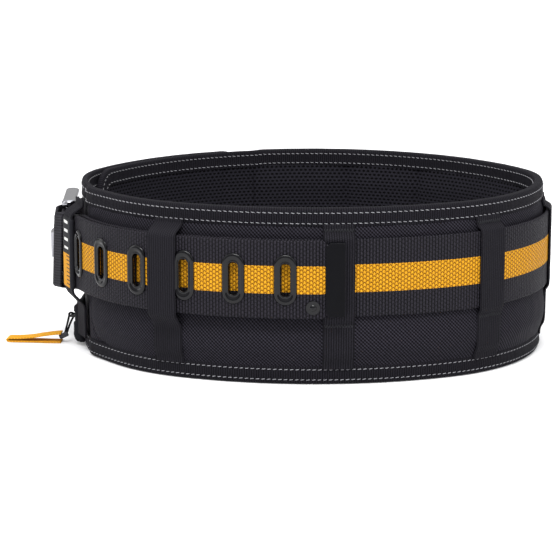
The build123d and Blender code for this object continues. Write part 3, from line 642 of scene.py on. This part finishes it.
class Heap:
    """Gathers many small closed forms in one mesh."""

    def __init__(self):
        self.v, self.f, self.uv = [], [], []

    def stitch(self, p, q, up, rad=0.32, lift=0.26, sides=6):
        """One thread float from p to q, rising over the cloth along up."""
        d = (q - p).normalized()
        side = d.cross(up).normalized()
        base = len(self.v)
        rings = ((0.0, -0.55, 0.55), (0.12, 0.5, 0.9), (0.5, 1.0, 1.0), (0.88, 0.5, 0.9), (1.0, -0.55, 0.55))
        for t, h, k in rings:
            c = p + (q - p) * t + up * (lift * h)
            for j in range(sides):
                b = 2 * pi * j / sides
                self.v.append(c + side * (rad * k * cos(b)) + up * (rad * k * 0.75 * sin(b)))
                self.uv.append((t * 4, j))
        n = len(rings)
        for i in range(n - 1):
            for j in range(sides):
                e = (j + 1) % sides
                self.f.append((base + i * sides + j, base + i * sides + e,
                               base + (i + 1) * sides + e, base + (i + 1) * sides + j))
        self.f.append(tuple(base + j for j in range(sides))[::-1])
        self.f.append(tuple(base + (n - 1) * sides + j for j in range(sides)))


def stitches(name, line, insets, pitch=4.6, dash=3.0):
    heap = Heap()
    for face in (1, -1):
        for w in insets:
            pts = [(s + ns * w, z + nz * w) for s, z, ns, nz in line]
            pts.append(pts[0])
            lens = [0.0]
            for (a, b), (c, d) in zip(pts, pts[1:]):
                lens.append(lens[-1] + hypot(c - a, d - b))
            count = int(lens[-1] / pitch)
            real = lens[-1] / count

            def at(t):
                lo, hi = 0, len(lens) - 1
                while hi - lo > 1:
                    m = (lo + hi) // 2
                    if lens[m] <= t:
                        lo = m
                    else:
                        hi = m
                k = (t - lens[lo]) / max(1e-9, lens[hi] - lens[lo])
                (a, b), (c, d) = pts[lo], pts[hi]
                return (a + (c - a) * k, b + (d - b) * k)

            for i in range(count):
                t = i * real
                p, q = at(t), at(min(t + dash, lens[-1]))
                out, inner = edge_skins(p[0])
                off = (out + 0.9 if face > 0 else inner - 0.9) + crease(*p)
                lean = 0.22 * face
                a, b = surf(p[0], p[1] - lean, off), surf(q[0], q[1] + lean, off)
                up = (surf(*p, off + face) - a).normalized()
                heap.stitch(a, b, up)
    return build(name, heap.v, heap.f, heap.uv, THREAD)


WEB_Z, WEB_W, WEB_T, BASE_OFF, TAIL_OFF = 89.0, 63.5, 2.8, 1.8, 7.6
LOOPS = [244.5, 273.8, 306.6, 352.0, 409.0, 433.5, 458.0]
LOOP_S = [s_of(a) for a in LOOPS]
SEAM_S, SEAM_R = S_FRONT + 12.0, 26.0
CREASE_S = S_FRONT - 9.0


def crease(s, z):
    """The cover buckles where it turns sharply in front, most of all at the top."""
    d = s - CREASE_S
    near = exp(-(d / 16.0)**2)
    return near * (0.9 * rough(s, z * 0.6, 61, 5.0) - 1.1 * exp(-(d / 3.0)**2) * ease(z, 95, 135))


def nearest_loop(s):
    return min(abs(s - q) for q in LOOP_S)


def pad_out(s, z):
    """The stuffed face: flat under the web, full below it, drawn in where loops are sewn."""
    low = max(0.0, sin(pi * (z - 13.0) / 44.0)) if 13 < z < 57 else 0.0
    high = max(0.0, sin(pi * (z - 119.0) / 14.0)) if 119 < z < 133 else 0.0
    pull = 1.0 - 0.62 * exp(-(nearest_loop(s) / 20.0)**2)
    # curved seam that closes the foam at the front, low down
    if z > SEAM_R + 13:
        d = s - SEAM_S
    else:
        d = SEAM_R - hypot(s - SEAM_S - SEAM_R, z - SEAM_R - 13) if s < SEAM_S + SEAM_R else 20.0
    seam = ease(d, 0.0, 9.0)
    groove = -1.5 * exp(-(d / 1.7)**2) * (1 - ease(z, 55, 62))
    puff = (2.7 * low**0.8 + 0.8 * high) * pull * seam
    folds = 0.55 * rough(s, z * 0.35, 3, 26.0) + 0.3 * rough(s, z, 11, 9.0)
    flat = 1.0 if 57 < z < 121 else 0.0
    return puff + groove + folds * (0.25 if flat else 1.0) * min(1.0, puff + 0.25) - 0.15 - 0.15 * flat


CHANNELS = [s_of(a) for a in (225.0, 262.0, 300.0, 340.0, 385.0, 421.3, 440.7, 473.0)]


def pad_in(s, z):
    near = min(abs(s - c) for c in CHANNELS)
    groove = 2.6 * exp(-(near / 3.2)**2)
    body = max(0.0, sin(pi * (z - 10.0) / 125.0)) if 10 < z < 135 else 0.0
    folds = 0.5 * rough(s * 0.7, z * 0.5, 31, 16.0)
    return -2.2 * body**0.6 * (1 - exp(-(near / 14.0)**2)) + groove * body**0.3 - folds * body


def wing_puff(s, z):
    return 0.35 * rough(s * 0.6, z * 0.5, 5, 22.0) - 0.2


def puff_out(s, z):
    front, back = ease(s, S_FRONT - 4, S_FRONT + 8), ease(s, S_BACK - 12, S_BACK + 2)
    k = front * (1 - back)
    return k * pad_out(s, z) + (1 - k) * wing_puff(s, z) + crease(s, z)


def puff_in(s, z):
    k = ease(s, S_FRONT - 2, S_FRONT + 45) * (1 - ease(s, S_BACK - 12, S_BACK + 2))
    # one sewn line runs down the inner wing as well
    flat = 0.2 - 0.35 * rough(s * 0.6, z * 0.5, 15, 20.0) + 1.1 * exp(-((s - CHANNELS[-1]) / 2.6)**2)
    return k * pad_in(s, z) + (1 - k) * flat + crease(s, z)


panel("pad", S_FRONT, S_BACK, 0.0, 0.0, 0.0, 0.0, puff_out, puff_in,
      ("pad_outer_cloth", "pad_foam", "pad_mesh_lining", "lumbar_board"))
for label, s0, s1, e0, e1, r0, r1 in (("outer_wing", S_OUTER, S_FRONT, 2.6, 0.0, 26.0, 0.0),
                                      ("inner_wing", S_BACK, S_INNER, 0.0, 2.6, 0.0, 26.0)):
    panel(label, s0, s1, e0, e1, r0, r1, puff_out, puff_in,
          (label + "_cloth", label + "_foam", label + "_lining"))
bound_edge("binding", S_OUTER, S_INNER, 26.0, 15.4,
           ("top_binding", "bottom_binding", "outer_wing_binding", "inner_wing_binding"))


FUZZ_LOW, FUZZ_HIGH = 14.7, 130.3   # the fasteners' lower and upper edges


def patch_panel(name, a0, a1, lo, hi, node):
    """Thin fuzzy fastener sewn on a wing."""
    s0, s1 = s_of(a0), s_of(a1)
    rows, uvs = [], []
    count = int((s1 - s0) / 3)
    heights = [FUZZ_LOW + (FUZZ_HIGH - FUZZ_LOW) * j / 36 for j in range(37)]
    for i in range(count + 1):
        s = s0 + (s1 - s0) * i / count
        loop = [(s, z, hi + 0.18 * rough(s, z, 2, 5.0)) for z in heights]
        loop += [(s, z, lo) for z in reversed(heights)]
        rows.append([surf(*p) for p in loop])
        uvs += [(p[0], p[1]) for p in loop]
    verts, faces = loft(rows)
    build(name, verts, faces, uvs, FUZZ, "belt", (node,))


patch_panel("hook_tape", 112.0, 168.0, -7.95, -7.1, "hook_panel")
patch_panel("loop_tape", 110.0, 149.0, -9.4, -8.6, "loop_panel")

# ------------------------------------------------------------------ web strap
LEAVE, BEND_U, BEND_TURN, BEND_IN, HEEL_V = 22.0, 62.0, 18.0, 20.0, 13.0
FOLD_R, BUCKLE_LEN, BUCKLE_TURN = 3.6, 55.0, 2.0
BEND_R, BACK_R, LEG_U = 14.0, 40.0, 38.0
DROP = 9.0                          # the web's middle is this much lower at the buckle
LOW_Z = WEB_Z - DROP
NEAR_C = (R1 - HALF_LEN + SX, SY)
OUT_A = 180.0 + LEAVE
N = (cos(radians(OUT_A)), sin(radians(OUT_A)))
D = (N[1], -N[0])


def run(u, w):
    return (NEAR_C[0] + (R1 + w) * N[0] + u * D[0], NEAR_C[1] + (R1 + w) * N[1] + u * D[1])


def run_z(u):
    return WEB_Z - DROP * u / BEND_U


BEND_C = run(BEND_U, -BEND_IN)
NOSE_A = OUT_A - BEND_TURN
N2 = (cos(radians(NOSE_A)), sin(radians(NOSE_A)))
D2 = (N2[1], -N2[0])


def nose(v, w):
    return (BEND_C[0] + (BEND_IN + w) * N2[0] + v * D2[0], BEND_C[1] + (BEND_IN + w) * N2[1] + v * D2[1])


FOLD_MID = FOLD_R + WEB_T / 2
HEEL_W = BASE_OFF - FOLD_MID
HEEL = nose(HEEL_V, HEEL_W)
TAIL_N = TAIL_OFF - HEEL_W


def heel(d, n):
    return (HEEL[0] + d * D2[0] + n * N2[0], HEEL[1] + d * D2[1] + n * N2[1])


ROLLER_R = 6.0
bend_c = (10.4, TAIL_N - BEND_R)
roll_c = (BUCKLE_LEN * cos(radians(BUCKLE_TURN)), -BUCKLE_LEN * sin(radians(BUCKLE_TURN)))
roll_r = ROLLER_R + 0.4 + WEB_T / 2
span = hypot(roll_c[0] - bend_c[0], roll_c[1] - bend_c[1])
line_a = degrees(atan2(roll_c[1] - bend_c[1], roll_c[0] - bend_c[0]) - asin((BEND_R + roll_r) / span))
na = radians(line_a + 90)
leave_bend = (bend_c[0] + BEND_R * cos(na), bend_c[1] + BEND_R * sin(na))
at_roller = (roll_c[0] - roll_r * cos(na), roll_c[1] - roll_r * sin(na))
past_roller = (at_roller[0] + 8 * cos(radians(line_a)), at_roller[1] + 8 * sin(radians(line_a)))
lead = degrees(atan2(D2[1], D2[0]))
head = radians(lead + line_a)
p_start = heel(*past_roller)
back_c = (p_start[0] + BACK_R * sin(head), p_start[1] - BACK_R * cos(head))
FAR_C = (SX, SY + HALF_WID - R_FAR)
far_r = R_FAR + BASE_OFF
wx, wy = back_c[0] - FAR_C[0], back_c[1] - FAR_C[1]
back_n = atan2(wy, wx) - acos((far_r - BACK_R) / hypot(wx, wy))
BACK_DIR = degrees(back_n)
p_back = (back_c[0] + BACK_R * cos(back_n), back_c[1] + BACK_R * sin(back_n))
p_touch = (FAR_C[0] + far_r * cos(back_n), FAR_C[1] + far_r * sin(back_n))
start_n = degrees(head) + 90.0
hs = FOLD_MID - WEB_T - 0.3
fold_a = degrees(asin(FOLD_MID / hypot(HEEL_V, hs)) + atan2(hs, HEEL_V))
leg_n = radians(-90.0 - fold_a)
leg_start = heel(FOLD_MID * cos(leg_n), FOLD_MID * sin(leg_n))
leg_w = HEEL_W + hs
TIP_DIR = 270.0 + degrees(asin(23.6 / (R_NEAR + TAIL_OFF)))
END_DIR = TIP_DIR - degrees(1.1 / (R_NEAR + TAIL_OFF))


def oval_segs(a0, a1, off):
    return [("arc", (cx + SX, cy + SY), r + off, lo, hi, WEB_Z, WEB_Z) for cx, cy, r, lo, hi in arcs(a0, a1)]


folded_leg = [
    ("line", run(LEG_U, leg_w), run(BEND_U, leg_w), run_z(LEG_U), LOW_Z),
    ("arc", BEND_C, BEND_IN + leg_w, OUT_A, NOSE_A, LOW_Z, LOW_Z),
]
strap_path = [
    ("line", heel(-HEEL_V, hs), leg_start, LOW_Z, LOW_Z),
    ("arc", HEEL, FOLD_MID, lead - 90.0 - fold_a, lead + 90.0, LOW_Z, LOW_Z),
    ("line", nose(HEEL_V, BASE_OFF), nose(0, BASE_OFF), LOW_Z, LOW_Z),
    ("arc", BEND_C, BEND_IN + BASE_OFF, NOSE_A, OUT_A, LOW_Z, LOW_Z),
    ("line", run(BEND_U, BASE_OFF), run(0, BASE_OFF), LOW_Z, WEB_Z),
    *oval_segs(OUT_A, 360.0 + BACK_DIR, BASE_OFF),
    ("line", p_touch, p_back, WEB_Z, LOW_Z),
    ("arc", back_c, BACK_R, BACK_DIR, start_n, LOW_Z, LOW_Z),
    ("line", p_start, heel(*leave_bend), LOW_Z, LOW_Z),
]
tail_path = [
    ("arc", heel(*bend_c), BEND_R, start_n, NOSE_A, LOW_Z, LOW_Z),
    ("line", heel(bend_c[0], TAIL_N), nose(0, TAIL_OFF), LOW_Z, LOW_Z),
    ("arc", BEND_C, BEND_IN + TAIL_OFF, NOSE_A, OUT_A, LOW_Z, LOW_Z),
    ("line", run(BEND_U, TAIL_OFF), run(0, TAIL_OFF), LOW_Z, WEB_Z),
    *oval_segs(OUT_A, END_DIR, TAIL_OFF),
]
SLOT_PITCH, SLOT_FIRST, SLOT_COUNT = 42.3, 46.8, 9
CUT_W, CUT_H = 10.6, 29.6           # the hole in the web under each eyelet
TAPER_H, CAP_LEN = 57.6, 15.5       # the web is narrowed under its tip cap


def chain(*paths):
    out = []
    s = 0.0
    for p, step in paths:
        f = sample(p, step)
        f = [(*q[:5], q[5] + s) for q in f]
        s = f[-1][5]
        out += f if not out else f[1:]
    return out


# the folded leg's arc is walked backwards, so its normals point the other way
leg = chain((folded_leg, 2.0))
half_leg = len(sample(folded_leg[:1], 2.0))
leg = [f if i < half_leg else (f[0], f[1], f[2], -f[3], -f[4], f[5]) for i, f in enumerate(leg)]
body_run = chain((strap_path, 2.4), (tail_path, 1.5))
shift = leg[-1][5]
body_run = [(*f[:5], f[5] + shift) for f in body_run]
spine = leg[:-1] + body_run
TOTAL = spine[-1][5]
slot_s = [TOTAL + 1.1 - SLOT_FIRST - SLOT_PITCH * i for i in range(SLOT_COUNT)]


def in_slot(s, dz):
    for c in slot_s:
        x = s - c
        if abs(x) < CUT_W / 2 and abs(dz) < CUT_H / 2:
            over = abs(dz) - (CUT_H / 2 - CUT_W / 2)
            if over <= 0 or hypot(x, over) < CUT_W / 2:
                return True
    return False


def strap():
    cols = 40
    section = tape_section(WEB_W, WEB_T, cols)
    n = len(section)
    rows, uvs = [], []
    for x, y, z, nx, ny, s in spine:
        capped = max(0.0, min(1.0, (s - (TOTAL - CAP_LEN)) / 1.5))
        narrow = 1.0 - (WEB_W - TAPER_H) / WEB_W * capped
        ripple = 0.22 * rough(s, 0, 4, 30.0)
        row = []
        for o, dz in section:
            e = abs(dz) / (WEB_W / 2)
            edge = 0.35 * rough(s, dz, 8, 6.0) * max(0.0, e - 0.85) / 0.15
            oo = o + ripple * e * 0.6
            row.append((x + nx * oo, y + ny * oo, z + (dz + edge * (1 if dz > 0 else -1)) * narrow))
            uvs.append((s, dz))
        rows.append(row)
    verts = [p for r in rows for p in r]
    faces = []
    # the inner face starts at back; it mirrors the outer one, which runs up while it runs down
    back = cols + 4
    holes = set()
    for i in range(len(rows) - 1):
        sm = (spine[i][5] + spine[i + 1][5]) / 2
        for j in range(cols):
            dz = (section[j][1] + section[j + 1][1]) / 2
            if in_slot(sm, dz):
                holes.add((i, j))
    for i in range(len(rows) - 1):
        for j in range(n):
            q = (j + 1) % n
            if j < cols and (i, j) in holes:
                continue
            if back <= j < back + cols and (i, cols - 1 - (j - back)) in holes:
                continue
            faces.append((i * n + j, i * n + q, (i + 1) * n + q, (i + 1) * n + j))

    def inner(j):
        return back + cols - j

    for i, j in holes:
        walls = (((i, j - 1), (i, j), (i + 1, j)), ((i, j + 1), (i + 1, j + 1), (i, j + 1)),
                 ((i - 1, j), (i, j + 1), (i, j)), ((i + 1, j), (i + 1, j), (i + 1, j + 1)))
        for beside, (a, b), (c, d) in walls:
            if beside not in holes:
                faces.append((a * n + b, c * n + d, c * n + inner(d), a * n + inner(b)))
    faces.append(tuple(range(n))[::-1])
    faces.append(tuple((len(rows) - 1) * n + j for j in range(n)))
    build("web", verts, faces, uvs, WEB, "belt", ("web_strap",))


strap()


def eyelets():
    """Rolled enamelled rings, each turned down through its slot."""
    prof = [(4.0, -1.7), (4.0, 0.35), (4.25, 0.75), (4.8, 0.85), (5.25, 0.55), (5.7, 0.75), (6.3, 1.2),
            (7.1, 1.5), (7.9, 1.45), (8.6, 1.1), (9.05, 0.55), (9.15, 0.05), (4.9, 0.05), (4.9, -1.7)]
    verts, faces, uvs = [], [], []
    for c in slot_s:
        x, y, z, nx, ny = min(spine, key=lambda f: abs(f[5] - c))[:5]
        rows = []
        for side, k in ((side, k) for side in (1, -1) for k in range(18)):
            b = pi * k / 17 + (pi if side < 0 else 0.0)
            cb, sb = cos(b), sin(b)
            row = []
            for r, h in prof:
                reach = 9.5 + 2.1 * (r - 4.0) / 5.15
                du, dz, o = r * cb, side * reach + r * sb, WEB_T / 2 + h
                row.append((x + nx * o - ny * du, y + ny * o + nx * du, z + dz))
                uvs.append((du, dz))
            rows.append(row)
        v, f = loft(rows, closed=True)
        base = len(verts)
        verts += v
        faces += [tuple(i + base for i in q) for q in f]
    build("eyelets", verts, faces, uvs, LACQUER, "belt", ("slot_eyelets",))


eyelets()


# ------------------------------------------------------------------ belt loops, front loop and keeper
def smooth_line(points, r, step=1.2):
    """Polyline with rounded corners, as (x, y, nx, ny, s) along it; the normal is to the left."""
    pts = [points[0]]
    for a, b, c in zip(points, points[1:], points[2:]):
        la, lc = hypot(b[0] - a[0], b[1] - a[1]), hypot(c[0] - b[0], c[1] - b[1])
        k = min(r, la * 0.45, lc * 0.45)
        p = (b[0] + (a[0] - b[0]) * k / la, b[1] + (a[1] - b[1]) * k / la)
        q = (b[0] + (c[0] - b[0]) * k / lc, b[1] + (c[1] - b[1]) * k / lc)
        for i in range(7):
            t = i / 6
            pts.append(tuple((1 - t)**2 * p[d] + 2 * t * (1 - t) * b[d] + t * t * q[d] for d in (0, 1)))
    pts.append(points[-1])
    fine = [pts[0]]
    for a, b in zip(pts, pts[1:]):
        n = hypot(b[0] - a[0], b[1] - a[1])
        if n < 1e-6:
            continue
        k = max(1, int(round(n / step)))
        fine += [(a[0] + (b[0] - a[0]) * i / k, a[1] + (b[1] - a[1]) * i / k) for i in range(1, k + 1)]
    out = []
    s = 0.0
    for i, p in enumerate(fine):
        a, b = fine[max(0, i - 1)], fine[min(len(fine) - 1, i + 1)]
        n = hypot(b[0] - a[0], b[1] - a[1])
        if i:
            s += hypot(p[0] - fine[i - 1][0], p[1] - fine[i - 1][1])
        out.append((p[0], p[1], -(b[1] - a[1]) / n, (b[0] - a[0]) / n, s))
    return out


def ribbon(name, line, width, t, put, mat, body="belt", nodes=(), cols=12, closed=False, wob=0.25):
    """Webbing along a line in (out, up): put(out, up, across) gives the point."""
    section = tape_section(width, t, cols)
    rows, uvs = [], []
    for o, z, no, nz, s in line:
        row = []
        for h, w in section:
            e = abs(w) / (width / 2)
            ww = w + (wob * rough(s, w, 21, 12.0) if e > 0.8 else 0)
            hh = h + wob * 0.5 * rough(s, w, 33, 15.0)
            row.append(put(o - no * hh, z - nz * hh, ww))
            uvs.append((s, w))
        rows.append(row)
    verts, faces = loft(rows, closed)
    return build(name, verts, faces, uvs, mat, body, nodes)


LOOP_W, LOOP_T = 25.4, 1.8
OVER_WEB = BASE_OFF + WEB_T / 2 + 0.1 + LOOP_T / 2
OVER_TAIL = TAIL_OFF + WEB_T / 2 + 1.3 + 0.3 + LOOP_T / 2


def loop_line(flat, over, web_z, lean=0.0, bot=13.0, top=132.0):
    w0, w1 = web_z - WEB_W / 2 - lean, web_z + WEB_W / 2 + lean
    rise = over - flat
    return [(flat, bot), (flat, w0 - 2.5 - rise), (over, w0 - 1.8), (over, w1 + 1.6),
            (flat, w1 + 2.4 + 0.5 * rise), (flat, top)]


def bartack(name, put, z, width, lift):
    """Dense zigzag tack across a loop's end."""
    heap = Heap()
    n = int(width / 1.25)
    for i in range(n):
        w = -width / 2 + 1.6 + (width - 3.2) * i / (n - 1)
        lean = 0.5 if i % 2 else -0.5
        a, b = Vector(put(lift, z - 1.5, w - lean)), Vector(put(lift, z + 1.5, w + lean))
        up = (Vector(put(lift + 1, z, w)) - Vector(put(lift, z, w))).normalized()
        heap.stitch(a, b, up, 0.36, 0.25)
    build(name, heap.v, heap.f, heap.uv, BLACKTHREAD)


for i, a in enumerate(LOOPS):
    over = OVER_TAIL if i == 0 else OVER_WEB

    def put(o, z, w, a=a, over=over):
        p = surf(s_of(a), z, o - pinch(s_of(a), z) * (1 - ease(min(z, PAD_H - z), 18.0, 26.0)))
        t = Vector((-sin(radians(a)), cos(radians(a)), 0))
        return p + t * w

    line = smooth_line(loop_line(1.0, over, WEB_Z), 3.5)
    ribbon(f"loop_{i + 1}", line, LOOP_W, LOOP_T, put, LOOPWEB, "belt", (f"belt_loop_{i + 1}",))
    for z, k in ((50.0, "low"), (127.0, "high")):
        bartack(f"loop_{i + 1}.tack_{k}", put, z, LOOP_W, 1.0 + LOOP_T / 2)


def at_run(u, w, z):
    x, y = run(u, w)
    return Vector((x, y, z))


PATCH_U, PATCH_W, PATCH_H, PATCH_T = 16.5, 21.0, 60.0, 1.3
line = smooth_line(loop_line(1.0, OVER_TAIL, run_z(PATCH_U), 0.6), 3.5)
ribbon("front_webbing", line, PATCH_W, LOOP_T, lambda o, z, w: at_run(PATCH_U - w, o, z), LOOPWEB, "belt",
       ("front_loop",))


def patch_material(name):
    """Generic label: black above with pale bars, orange below with dark ticks, dark along its side."""
    m = Nodes(name, 0.6, 0.08)
    u, v = m.uv()
    speck = m.noise(800, 3.0)
    tick = m.below(m.part(m.over(v, 3.4)), 0.30)
    tick = m.mul(tick, m.math("GREATER_THAN", u, -1.0))
    bar = m.size(m.minus(m.part(m.over(v, 7.5)), 0.5))
    bar = m.below(bar, 0.17)
    bar = m.mul(bar, m.below(m.size(m.add(u, 1.0)), 5.2))
    bar = m.mul(bar, m.math("GREATER_THAN", v, 3.0))
    above = m.mix(bar, (0.008, 0.008, 0.010), (0.62, 0.62, 0.60))
    orange = m.mix(speck, (0.44, 0.19, 0.005), (0.58, 0.265, 0.010))
    below = m.mix(tick, orange, (0.02, 0.015, 0.012))
    both = m.mix(m.below(v, -1.0), above, below)
    m.colour(m.mix(m.math("GREATER_THAN", u, 7.2), both, (0.012, 0.012, 0.015)))
    m.bump(m.add(m.mul(speck, 0.3), m.add(bar, tick)), 0.25, 0.8)
    return m.m


def patch():
    """Soft-edged moulded label curving with the webbing under it; one side turns down over the edge."""
    w, t = PATCH_W - 0.6, PATCH_T
    flare = 0.6
    lift = OVER_TAIL + LOOP_T / 2 + 0.02
    z0 = run_z(PATCH_U)
    rings, uvs = [], []
    for inset, up in ((-flare, -2.4), (-flare, 0.0), (0.0, t * 0.55), (0.35, t * 0.9), (1.2, t),
                      (2.2, t * 0.92), (3.0, t * 0.92)):
        ring = []
        for x, z, _, _ in round_box(w / 2 - inset, PATCH_H / 2 - inset, max(0.6, 2.0 - inset), 4):
            near = x > w / 2 - 1.2
            if not near and inset <= 0:
                x = x * (w / 2) / (w / 2 + flare)
            ring.append((x, z, up if near else max(0.0, up)))
        rings.append([at_run(PATCH_U - x, lift + up, z0 + z) for x, z, up in ring])
        uvs += [(x, z) for x, z, _ in ring]
    verts, faces = loft(rings)
    build("patch", verts, faces, uvs, patch_material("patch"), "belt", ("front_patch",))


patch()

KEEP_U, KEEP_W, KEEP_T = 50.0, 24.0, 1.6
keep_in, keep_out = -3.6, TAIL_OFF + WEB_T / 2 + 1.3 + 0.4
keep_h = WEB_W / 2 + 0.7
slope = atan2(DROP, BEND_U)
mid_w = (keep_in + keep_out) / 2


def keeper_line():
    """Closed line round both layers of web, as smooth_line gives it."""
    hw, hh, r = (keep_out - keep_in) / 2 + KEEP_T / 2, keep_h + KEEP_T / 2, 2.6
    pts = round_box(hw, hh, r, 6)
    fine = []
    s = 0.0
    for p, q in zip(pts, pts[1:] + pts[:1]):
        n = hypot(q[0] - p[0], q[1] - p[1])
        k = max(1, int(round(n / 1.5)))
        for i in range(k):
            t = i / k
            fine.append((p[0] + (q[0] - p[0]) * t, p[1] + (q[1] - p[1]) * t,
                         -(p[2] + (q[2] - p[2]) * t), -(p[3] + (q[3] - p[3]) * t), s + n * t))
        s += n
    return fine


def keeper_put(o, z, w):
    """Point on the keeper, leaning with the web, whose middle falls towards the buckle."""
    u = KEEP_U + w * cos(slope) - z * sin(slope)
    zz = run_z(KEEP_U) + z * cos(slope) - w * sin(slope)
    return at_run(u, mid_w + o, zz)


ribbon("keeper_loop", keeper_line(), KEEP_W, KEEP_T, keeper_put, KEEPWEB, "keeper", ("keeper",),
       closed=True, wob=0.12)

# ------------------------------------------------------------------ zip pocket
POCKET_A = 175.0
PW = (cos(radians(POCKET_A)), sin(radians(POCKET_A)))
PT = (-PW[1], PW[0])
pocket_p = surf(s_of(POCKET_A), 0, 0)
ZIP_Z = 24.5


def on_pocket(t, w, z):
    return Vector((pocket_p.x + t * PT[0] + w * PW[0], pocket_p.y + t * PT[1] + w * PW[1], z))


def pocket():
    """Slack cloth pouch, parted by the zip's valley, sewn down on the wing."""
    cols, rows_n = 54, 44
    t0, t1, z0, z1 = -36.0, 30.0, 3.0, 37.0
    base, full = -1.6, 4.4              # the wing's face here, and the cloth's where it is fullest
    spots = [(t0 + (t1 - t0) * j / cols, z0 + (z1 - z0) * i / rows_n)
             for i in range(rows_n + 1) for j in range(cols + 1)]
    front = []
    for t, z in spots:
        e = min(t - t0, t1 - t, z - z0, z1 - z)
        edge = sqrt(max(0.0, 1 - (1 - min(1.0, e / 7.0))**2))
        valley = ease(abs(z - ZIP_Z), 2.4, 5.0) if -33 < t < 27 else 1.0
        folds = 0.9 * rough(t, z * 0.6, 17, 9.0) + 0.5 * rough(t + z, z, 23, 6.0)
        w = base + (full + folds * 0.9 - base) * edge * (0.14 + 0.86 * valley)
        front.append(on_pocket(t, w, z))
    back = [surf(s_of(POCKET_A) + t, z, -1.9) for t, z in spots]
    n, top_n = cols + 1, len(spots)
    faces = []
    for i in range(rows_n):
        for j in range(cols):
            a, b, c, d = i * n + j, i * n + j + 1, (i + 1) * n + j + 1, (i + 1) * n + j
            faces.append((a, b, c, d))
            faces.append((d + top_n, c + top_n, b + top_n, a + top_n))
    rim = [j for j in range(cols + 1)] + [i * n + cols for i in range(1, rows_n + 1)]
    rim += [rows_n * n + j for j in range(cols - 1, -1, -1)] + [i * n for i in range(rows_n - 1, 0, -1)]
    for a, b in zip(rim, rim[1:] + rim[:1]):
        faces.append((a, a + top_n, b + top_n, b))
    ob = build("pocket", front + back, faces, spots * 2, POCKET, "belt", ("pocket_shell",))


pocket()


def zip_teeth():
    """Coil of the zip: two rows of little nylon turns."""
    heap = Heap()
    for k in range(46):
        t = -30.6 + 55.2 * k / 45
        for side in (1, -1):
            tt = t + (0.3 if side > 0 else -0.3)
            a = on_pocket(tt - 0.35, 1.55, ZIP_Z + side * 1.9)
            b = on_pocket(tt + 0.35, 1.55, ZIP_Z - side * 0.3)
            heap.stitch(a, b, Vector((PW[0], PW[1], 0)), 0.42, 0.7)
    build("zip_teeth", heap.v, heap.f, heap.uv, ZIPCOIL, "belt", ("zip_coil",))


def zip_band():
    """Tape that carries the coil."""
    rows, uvs = [], []
    for i in range(59):
        t = -31.5 + i
        loop = []
        for h, w in tape_section(5.8, 0.7, 6):
            loop.append(on_pocket(t, 0.45 + h + 0.05 * rough(t, w, 3, 3.0), ZIP_Z + w))
            uvs.append((t, w))
        rows.append(loop)
    verts, faces = loft(rows)
    build("zip_band", verts, faces, uvs, LOOPWEB, "belt", ("zip_tape",))


zip_teeth()
zip_band()

# ------------------------------------------------------------------ cord pull
SLIDER_T, ROD_W, CORD_D = 19.0, 7.4, 1.8
turn = 0.8 + CORD_D / 2 + 0.25


def pull(w, z):
    return on_pocket(SLIDER_T, ROD_W + w, ZIP_Z + z)


# out from the ferrule, up and over the slider's rod and back, as (out, up) from the rod
route = [(5.2, -18.5), (0.4, -5.0), (-turn, -1.8), (-turn, turn), (turn, turn), (turn, -1.8), (6.0, -16.5)]


def pull_cord():
    curve = bpy.data.curves.new("pull_cord", "CURVE")
    curve.dimensions = "3D"
    curve.bevel_depth = CORD_D / 2 * MM
    curve.bevel_resolution = 4
    curve.use_fill_caps = True
    spline = curve.splines.new("NURBS")
    spline.points.add(len(route) - 1)
    for p, q in zip(spline.points, route):
        p.co = (*(pull(*q) * MM), 1.0)
    spline.order_u = 3
    spline.use_endpoint_u = True
    spline.resolution_u = 12
    curve.materials.append(CORD)
    ob = bpy.data.objects.new("cord_pull", curve)
    bpy.context.scene.collection.objects.link(ob)
    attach(ob, "pull")
    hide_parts("pull_cord")
    return ob


cord_ob = pull_cord()

TAB_W, TAB_T = 12.0, 1.4
# a folded band, seen from its edge: along the floor, round the fold and back over itself
tab = [(9.0, 1.0), (54.5, 1.0), (56.8, 2.3), (54.5, 3.6), (32.0, 5.1), (9.0, 8.6)]
line = smooth_line(tab, 2.2)


def tab_put(o, z, w):
    sag = 0.35 * sin((o - 9) / 46 * 2 * pi) * (1 if z > 2 else 0)
    return on_pocket(SLIDER_T + w, ROD_W + o, max(z + sag, 0.32))


ribbon("tab", line, TAB_W, TAB_T, tab_put, ORANGE, "pull", ("pull_tab",), cols=8, wob=0.3)
tuple(pull(*route[0]) * MM)

# ------------------------------------------------------------------ CAD pieces that keep their shape
for node, mat in (("buckle_frame", GUNMETAL), ("heel_bar", GUNMETAL), ("heel_bar_screws", GUNMETAL),
                  ("buckle_roller", GUNMETAL), ("buckle_tongue", GUNMETAL),
                  ("slot_washers", WASHER), ("tip_rivet", LACQUER), ("tip_rivet_washer", WASHER),
                  ("web_tip_cap", TIP), ("zip_stops", WASHER), ("zip_slider", LACQUER),
                  ("pull_ferrule", SLEEVE)):
    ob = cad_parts[node]
    ob.data.materials.clear()
    ob.data.materials.append(mat)
    for p in ob.data.polygons:
        p.material_index = 0

# ------------------------------------------------------------------ floor
FLOOR = 16.0                        # metres from its middle to each side


def floor():
    me = bpy.data.meshes.new("floor")
    corners = [(-FLOOR, -FLOOR, 0), (FLOOR, -FLOOR, 0), (FLOOR, FLOOR, 0), (-FLOOR, FLOOR, 0)]
    me.from_pydata(corners, [], [(0, 1, 2, 3)])
    ob = bpy.data.objects.new("floor", me)
    bpy.context.scene.collection.objects.link(ob)
    m = Nodes("paper", 0.85, 0.2)
    m.colour((0.86, 0.86, 0.87))
    m.b.inputs["Emission Color"].default_value = (1, 1, 1, 1)
    m.b.inputs["Emission Strength"].default_value = 0.10
    me.materials.append(m.m)


floor()
